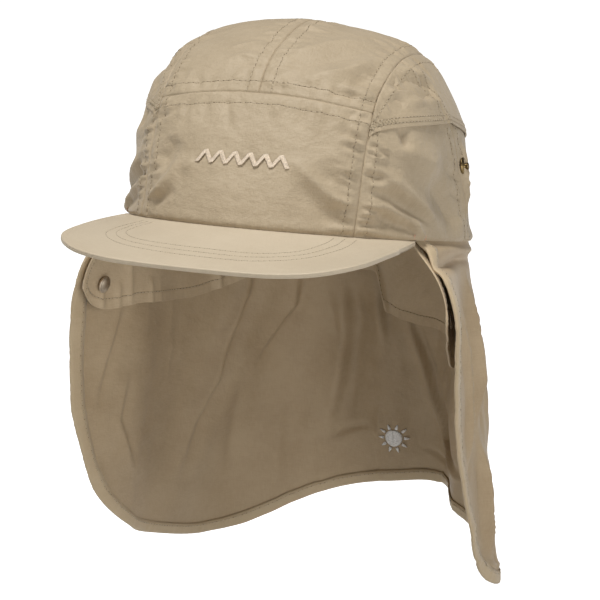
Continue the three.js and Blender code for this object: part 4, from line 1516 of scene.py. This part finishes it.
# Folds of the flap that step in or out across a path that runs down the cloth; a positive rise
# stands outward on the side of the larger angle.
FLAP_STEPS = [
    on_flat(-2.8, 4.5, (218, 4), (224, 45), (232, 74), (235, 96), (242, 118), (252, 166)),
    on_flat(-1.5, 3.6, (202, 8), (206, 52), (222, 88)),
    on_flat(-2.2, 6.3, (188, 4), (186, 58), (189, 91), (196, 140)),
    on_flat(-1.4, 4.5, (175, 8), (170, 76)),
    on_flat(-1.8, 2.7, (164, 34), (159, 68), (155, 98), (148, 122), (120, 142)),
    on_flat(-0.9, 2.7, (279, 40), (284, 74), (289, 106)),
    on_flat(-0.9, 2.7, (277, 82), (280, 112), (272, 146)),
    on_flat(-0.9, 5.4, (209, 104), (212, 180)),
]
# Creases of the flap and the skirt; rise is outward.
FLAP_CREASES = [
    on_flat(0.5, 1.8, (198, 134), (186, 124), (178, 121)),
    on_flat(0.5, 1.8, (163, 130), (156, 134), (147, 141)),
    on_flat(0.6, 5.0, (226, 98), (227, 172)),
    on_flat(0.7, 2.4, (52, 4), (84, 4.5), (118, 5)),
    on_flat(-0.9, 2.2, (52, 9), (86, 9), (118, 10)),
    on_flat(0.4, 1.8, (76, 160), (93, 170), (110, 178)),
    on_flat(1.5, 3.0, (95, 12), (96, 50), (91, 100)),
    on_flat(-1.0, 2.5, (99, 20), (99, 60), (95, 110)),
    on_flat(1.5, 3.0, (92, 96), (91, 140), (96, 172)),
    on_flat(-1.0, 2.4, (96, 110), (96, 150), (100, 184)),
    on_flat(1.2, 2.6, (84, 22), (83, 78), (70, 122)),
    on_flat(-0.9, 2.2, (88, 30), (87, 80), (76, 126)),
    on_flat(1.0, 2.4, (108, 14), (106, 60), (103, 120)),
]
SKIRT_CREASES = [
    on_flat(-0.5, 1.5, (292, 30), (292, 50)),
    on_flat(-0.4, 1.4, (286, 32), (287, 52)),
    on_flat(-0.5, 1.8, (284, 14), (282, 54)),
    on_flat(-0.4, 1.5, (275, 32), (275, 54)),
    on_flat(-0.5, 2.5, (240, 10), (238, 50)),
    on_flat(-0.5, 2.5, (205, 10), (209, 40)),
    on_flat(-0.8, 2.0, (174, 16), (170, 36), (166, 60)),
]


def loose_creases(seed, count):
    """Slack creases scattered over the flap, most of them upright."""
    rng = np.random.default_rng(seed)
    creases = []
    for _ in range(count):
        degrees, drop = rng.uniform(70, 290), rng.uniform(20, 150)
        lean, length = rng.uniform(-9, 9), rng.uniform(20, 50)
        rise = LOOSE_RISE * rng.uniform(0.4, 1) * rng.choice([-1, 1])
        ends = ((degrees, drop), (degrees + lean, drop + length))
        creases.append(on_flat(rise, rng.uniform(1.5, 4), *ends))
    return creases


FLAP_CREASES += loose_creases(17, LOOSE_COUNT)


def flap_relief(spots):
    """How far the flap's creases and soft swelling move its cloth outward."""
    drop = spots[..., 1]
    small = swelling(spots, FLAP_NOISE)
    folds = crease_height(spots, FLAP_STEPS, stepped=True) * smooth(drop, 20, 50)
    folds += crease_height(spots, FLAP_CREASES) * smooth(drop, 0, 3)
    return small * smooth(drop, 5, 40) + folds


def flap_surface(spots, lift):
    """Points and outward normals of the flap's cloth, lifted from its middle."""
    angle, drop = from_flat(spots)
    normals = cloth_normal(flap_point, angle, drop)
    height = flap_relief(spots) + lift - FLAP_MIDDLE
    return flap_point(angle, drop) + normals * height[..., None], normals


def flap_grid(side_count, foot_count, inset):
    """Grid of places on the flat between the rim and the free edge, moved in by an inset."""
    left, foot, right = flap_border(side_count, foot_count)
    run = moved_in(np.concatenate([left, foot[1:-1], right[::-1]]), inset)
    left = run[:side_count]
    foot = run[side_count - 1 : side_count + foot_count - 1]
    right = run[side_count + foot_count - 2 :][::-1]
    down = np.linspace(0, 1, side_count)[:, None, None]
    around = np.linspace(0, 1, foot_count)[None, :, None]
    head = mix(left[0], right[0], around)
    return (
        mix(head, foot[None], down)
        + mix(left[:, None], right[:, None], around)
        - mix(head, mix(foot[0], foot[-1], around), down)
    )


def tucked(spots):
    """A hanging cloth's grid with one more row above the rim, inside the crown."""
    return np.concatenate([spots[:1] * [1, 0] + [0, -FLAP_TUCK], spots])


def build_flap():
    spots = tucked(flap_grid(*FLAP_GRID, BINDING_WIDTH - BINDING_OVERLAP))
    outer, _ = flap_surface(spots, FLAP_CLOTH / 2)
    inner, _ = flap_surface(spots, -FLAP_CLOTH / 2)
    piece = shell("neck_flap_cloth", outer, inner, spots)
    dress(piece, "flap_cloth", "neck_flap")
    return piece


def build_binding():
    """Folded strip over the flap's free edge, topstitched near its inner border."""
    foot_count, run_count = BINDING_POINTS
    left, foot, right = flap_border(FLAP_GRID[0], foot_count)
    run = evenly(np.concatenate([left, foot[1:-1], right[::-1]]), run_count)
    along = lengths_along(run)
    wave = 0.10 * ripple(along, 5.5, 81)
    rings = []
    for inset, lift in zip(*BINDING_SECTION.values()):
        spots = moved_in(run, inset)
        rings.append(flap_surface(spots, lift * BINDING_HALF_WALL + wave * np.sign(lift))[0])
    grid = np.stack(rings, 1)
    count, sides = grid.shape[:2]
    uv = np.stack([np.repeat(along, sides), np.tile(BINDING_SECTION["inset"], count)], -1)
    piece = make_mesh("flap_binding_cloth", grid.reshape(-1, 3), ring_faces(count, sides), uv)
    dress(piece, "binding_cloth", "flap_binding")
    sewing = Sewing()
    for facing in (1, -1):
        lift = np.full(len(run), facing * BINDING_HALF_WALL)
        path, normals = flap_surface(moved_in(run, BINDING_STITCH), lift)
        sewing.row(path, normals * facing)
    sewing.finish("binding_stitches", "binding_cloth", tilt=False)
    return piece


def build_skirt():
    start = math.radians(SKIRT_ANGLE)
    angles = np.linspace(start, 2 * math.pi - start, BORDER_POINTS)
    foot = evenly(np.stack([angles * CLOTH_REACH, skirt_edge_drop(angles)], -1), SKIRT_POINTS)
    down = cloth_steps(50, 1.3)[:, None]
    spots = tucked(np.stack([foot[None, :, 0] + 0 * down, foot[None, :, 1] * down], -1))
    angle, drop = from_flat(spots)
    panel = Panel(skirt_point(angle, drop), cloth_normal(skirt_point, angle, drop))
    hem = panel.away("top")
    gathers = 0.12 * ripple(spots[..., 0], 6.0, 92) * bell(hem, 3, 6)
    height = swelling(spots, SKIRT_NOISE) * smooth(drop, 2, 20) + gathers
    height = height + crease_height(spots, SKIRT_CREASES)
    thick = mix(0.5, 0.3, smooth(hem, SKIRT_HEM, SKIRT_HEM + 0.8))
    thick = thick - STITCH_DIP * bell(hem, SKIRT_HEM, GROOVE_WIDTH)
    outer = panel.raised(height - SKIRT_WALL / 2 + thick)
    inner = panel.raised(height - SKIRT_WALL / 2 - thick)
    piece = shell("inner_skirt_cloth", outer, inner, spots)
    dress(piece, "skirt_cloth", "inner_skirt")
    sewing = Sewing()
    for surface, facing in ((outer, 1), (inner, -1)):
        for edge, distance in (("top", SKIRT_HEM), ("left", SKIRT_SIDE_ROW), ("right", SKIRT_SIDE_ROW)):
            path, ups = panel.line(surface, edge, distance)
            sewing.row(path[2:-2], ups[2:-2] * facing)
    stitches = sewing.finish("skirt_stitches", "skirt_cloth", tilt=False)
    return piece, stitches


flap = build_flap()
binding = build_binding()
skirt, skirt_stitches = build_skirt()


# Embroidery


def front_motif():
    """Raised satin zigzag across the front panel."""
    sewing = Sewing()
    corners = np.arange(2 * ZIGZAG_PEAKS + 1)
    x = mix(*ZIGZAG_SPAN, corners / corners[-1])
    z = ZIGZAG_MIDDLE + np.where(corners % 2, 0.5, -0.5) * ZIGZAG_HEIGHT
    line = evenly(np.stack([x, z], -1), int(len(corners) * ZIGZAG_HEIGHT * ZIGZAG_THREADS))
    centres = crown_front_back(line[:, 0], line[:, 1], -1)
    ups = crown_normal(centres)
    ways = unit(np.cross(ups, np.array([-0.25, 0.0, 1.0])))
    lift = (crease_height(centres, CROWN_CREASES) + swell_at(centres) + ZIGZAG_LIFT)[:, None]
    sewing.strands(centres + ups * lift, ways, ups, ZIGZAG_HALF_WIDTH, STITCH_RADIUS)
    sewing.finish("front_motif", "crown_cloth", thread=FRONT_THREAD)


def flap_emblem():
    """Small embroidered sun on the inside of the flap."""
    centre = np.array([math.radians(EMBLEM_ANGLE) * CLOTH_REACH, EMBLEM_DROP])
    sewing = Sewing()

    def add(starts, ends, radius):
        lift = np.full(len(starts), -FLAP_CLOTH / 2 - EMBLEM_LIFT)
        first, _ = flap_surface(centre + starts, lift)
        second, ups = flap_surface(centre + ends, lift)
        half = np.linalg.norm(second - first, axis=-1) / 2
        sewing.strands((first + second) / 2, unit(second - first), -ups, half, radius)

    level = np.arange(-EMBLEM_DISC + 0.3, EMBLEM_DISC, EMBLEM_SPACING)
    chord = np.sqrt(EMBLEM_DISC**2 - level**2)
    for start, end in ((-1, 0.1), (-0.1, 1)):
        first, second = (np.stack([chord * share, level], -1) for share in (start, end))
        add(first, second, EMBLEM_RADIUS)
    turn = 2 * np.pi * np.arange(EMBLEM_RAYS) / EMBLEM_RAYS
    for shift in (-0.5, 0, 0.5):
        way = np.stack([np.cos(turn), np.sin(turn)], -1)
        beside = np.stack([-np.sin(turn), np.cos(turn)], -1) * shift
        tip = EMBLEM_REACH - abs(shift) * 2
        root = EMBLEM_DISC + EMBLEM_RAY_GAP
        add(way * root + beside, way * tip + beside * 0.4, EMBLEM_RAY_RADIUS)
    sewing.finish("flap_emblem", "flap_cloth", tilt=False, thread=EMBLEM_THREAD)


def rim_tack():
    """Short bar of thread at the rim on both sides, where the peak ends and the flap begins."""
    sewing = Sewing()
    for side in (1, -1):
        angle = side * np.radians(np.linspace(*RIM_TACK_ANGLES, RIM_TACK_THREADS))
        centres = crown_ring(angle, RIM_TACK_HEIGHT + 0 * angle, 0 * angle - RIM_TACK_LIFT)
        ups = crown_normal(centres)
        slant = np.array([0.0, -0.35, 1.0])
        ways = unit(np.broadcast_to(slant, ups.shape))
        sewing.strands(centres, ways, ups, RIM_TACK_HALF_WIDTH, STITCH_RADIUS)
    sewing.finish("rim_tacks", "crown_cloth", thread=TACK_THREAD)


front_motif()
flap_emblem()
rim_tack()


# Fasteners


def turned(name, rows, place, direction, slot, *nodes, segments=48):
    """Turned piece about a direction from rows of radius and height."""
    direction = unit(np.asarray(direction, float))
    beside = unit(np.cross(direction, [0.3, 0.2, 1.0]))
    across = np.cross(direction, beside)
    turn = 2 * np.pi * np.arange(segments) / segments
    rings = [
        place
        + direction * height
        + radius * (np.cos(turn)[:, None] * beside + np.sin(turn)[:, None] * across)
        for radius, height in rows
    ]
    piece = make_mesh(name, np.concatenate(rings), ring_faces(len(rings), segments))
    return dress(piece, slot, *nodes)


def snap_rows(radius, height):
    """Sewn-on cap with a rounded rim, a groove and a low dome."""
    return [(radius * wide, height * high) for wide, high in zip(*SNAP_SECTION.values())]


def stud_rows():
    """Wide flange that carries a waisted post."""
    flange, post = STUD_DIAMETER / 2, STUD_POST_DIAMETER / 2
    return [
        (0.01, 0),
        (flange, 0),
        (flange, STUD_HEIGHT * 0.2),
        (flange * 0.85, STUD_HEIGHT * 0.34),
        (post * 0.85, STUD_HEIGHT * 0.4),
        (post * 0.8, STUD_HEIGHT * 0.6),
        (post, STUD_HEIGHT * 0.75),
        (post * 0.95, STUD_HEIGHT * 0.92),
        (post * 0.6, STUD_HEIGHT),
        (0.01, STUD_HEIGHT),
    ]


def build_fasteners(side, word):
    angle = np.array(side * math.radians(SNAP_ANGLE))
    drop = np.array(float(SNAP_DROP))
    normal = cloth_normal(skirt_point, angle, drop)
    lift, height = (2 * GAP, SOCKET_HEIGHT) if side > 0 else (-SKIRT_WALL - 2 * GAP, SNAP_HEIGHT)
    turned(
        f"snap_cap_{word}_metal",
        snap_rows(SNAP_DIAMETER / 2, height),
        skirt_point(angle, drop) + normal * lift,
        normal * side,
        "snap_metal",
        f"snap_cap_{word}",
    )
    place = crown_side(np.array(float(STUD_BACKSET)), np.array(float(STUD_LIFT)), side)
    normal = crown_normal(place)
    turned(
        f"press_stud_{word}_metal",
        stud_rows(),
        worn(place + normal * (2 * GAP + swell_at(place))),
        worn(normal),
        "stud_metal",
        f"press_stud_{word}",
    )


build_fasteners(1, "left")
build_fasteners(-1, "right")


# Studio


def studio_material(name, tone, glow):
    """Pale paper that is lit up behind the cap, and farther off on all sides."""
    n = Nodes(name, 0.9)
    place = n.tree.nodes.new("ShaderNodeTexCoord")
    speckle = n.noise(place.outputs["Object"], 3.0, 2.0)
    pale, dark = ((shade, shade, shade, 1.0) for shade in (tone, tone * PAPER_SPECKLE))
    n.put(n.shader, "Base Color", n.ramp(speckle, (0.3, dark), (0.7, pale)))

    def measured(operation):
        node = n.add("ShaderNodeVectorMath")
        node.operation = operation
        n.put(node, 0, place.outputs["Object"])
        return node

    behind, around = measured("DOT_PRODUCT"), measured("LENGTH")
    turn = math.radians(CAMERA_TURN)
    behind.inputs[1].default_value = (-math.sin(turn), math.cos(turn), 0)
    away = n.maths("SUBTRACT", around.outputs["Value"], FLOOR_GLOW_SHIFT)
    away = n.maths("MAXIMUM", away, behind.outputs["Value"])
    start, end = FLOOR_GLOW_REACH
    share = n.maths("MULTIPLY", n.maths("SUBTRACT", away, start), 1 / (end - start))
    share = n.maths("MINIMUM", n.maths("MAXIMUM", share, 0.0), 1.0)
    n.shader.inputs["Emission Color"].default_value = (1.0, 1.0, 1.0, 1.0)
    n.put(n.shader, "Emission Strength", n.maths("MULTIPLY", share, glow))
    return n.material


def direction_euler(way):
    """Turns a light or camera, which looks along -Z with +Y up, along a direction, with no roll."""
    way = way / np.linalg.norm(way)
    pitch = math.atan2(math.hypot(way[0], way[1]), -way[2])
    return (pitch, 0, math.atan2(-way[0], way[1]))


def area_light(name, place, target, size, power):
    data = bpy.data.lights.new(name, "AREA")
    data.shape = "DISK"
    data.size = size
    data.energy = power
    light = bpy.data.objects.new(name, data)
    light.location = place
    light.rotation_euler = direction_euler(np.array(target, float) - np.array(place, float))
    bpy.context.scene.collection.objects.link(light)


def build_studio():
    corners = np.array([(-1, -1, 0), (1, -1, 0), (1, 1, 0), (-1, 1, 0)]) * FLOOR_HALF
    floor = make_mesh("floor", (corners - [0, 0, FLOOR_DROP]) / MM, [(0, 1, 2, 3)])
    floor.data.materials.append(studio_material("floor_paper", FLOOR_TONE, FLOOR_GLOW))
    world = bpy.data.worlds.new("studio")
    bpy.context.scene.world = world
    world.use_nodes = True
    world.node_tree.nodes["Background"].inputs["Color"].default_value = (1.0, 1.0, 1.0, 1.0)
    world.node_tree.nodes["Background"].inputs["Strength"].default_value = WORLD_LIGHT
    for k, (x, y, z, size, power) in enumerate(zip(*LIGHTS.values())):
        area_light(f"light_{k}", (x, y, z), (0, 0, 0), size, power)


def build_camera():
    """Camera at the picture's viewing angle; it aims a little off the origin instead of shifting."""
    turn, lift = math.radians(CAMERA_TURN), math.radians(CAMERA_LIFT)
    level = math.cos(lift)
    back = np.array([math.sin(turn) * level, -math.cos(turn) * level, math.sin(lift)])
    right = np.array([math.cos(turn), math.sin(turn), 0])
    up = np.cross(back, right)
    across, down = (FRAME_PIXELS / 2 - place for place in ORIGIN_PIXEL)
    aim = -back + right * across / FOCAL_PIXELS - up * down / FOCAL_PIXELS
    data = bpy.data.cameras.new("camera")
    data.sensor_width = SENSOR_MM
    data.lens = FOCAL_PIXELS / FRAME_PIXELS * SENSOR_MM
    data.clip_end = 100
    camera = bpy.data.objects.new("camera", data)
    camera.location = back * CAMERA_DISTANCE
    camera.rotation_euler = direction_euler(aim)
    bpy.context.scene.collection.objects.link(camera)
    bpy.context.scene.camera = camera
    bpy.context.scene.view_settings.view_transform = "Standard"


build_studio()
build_camera()
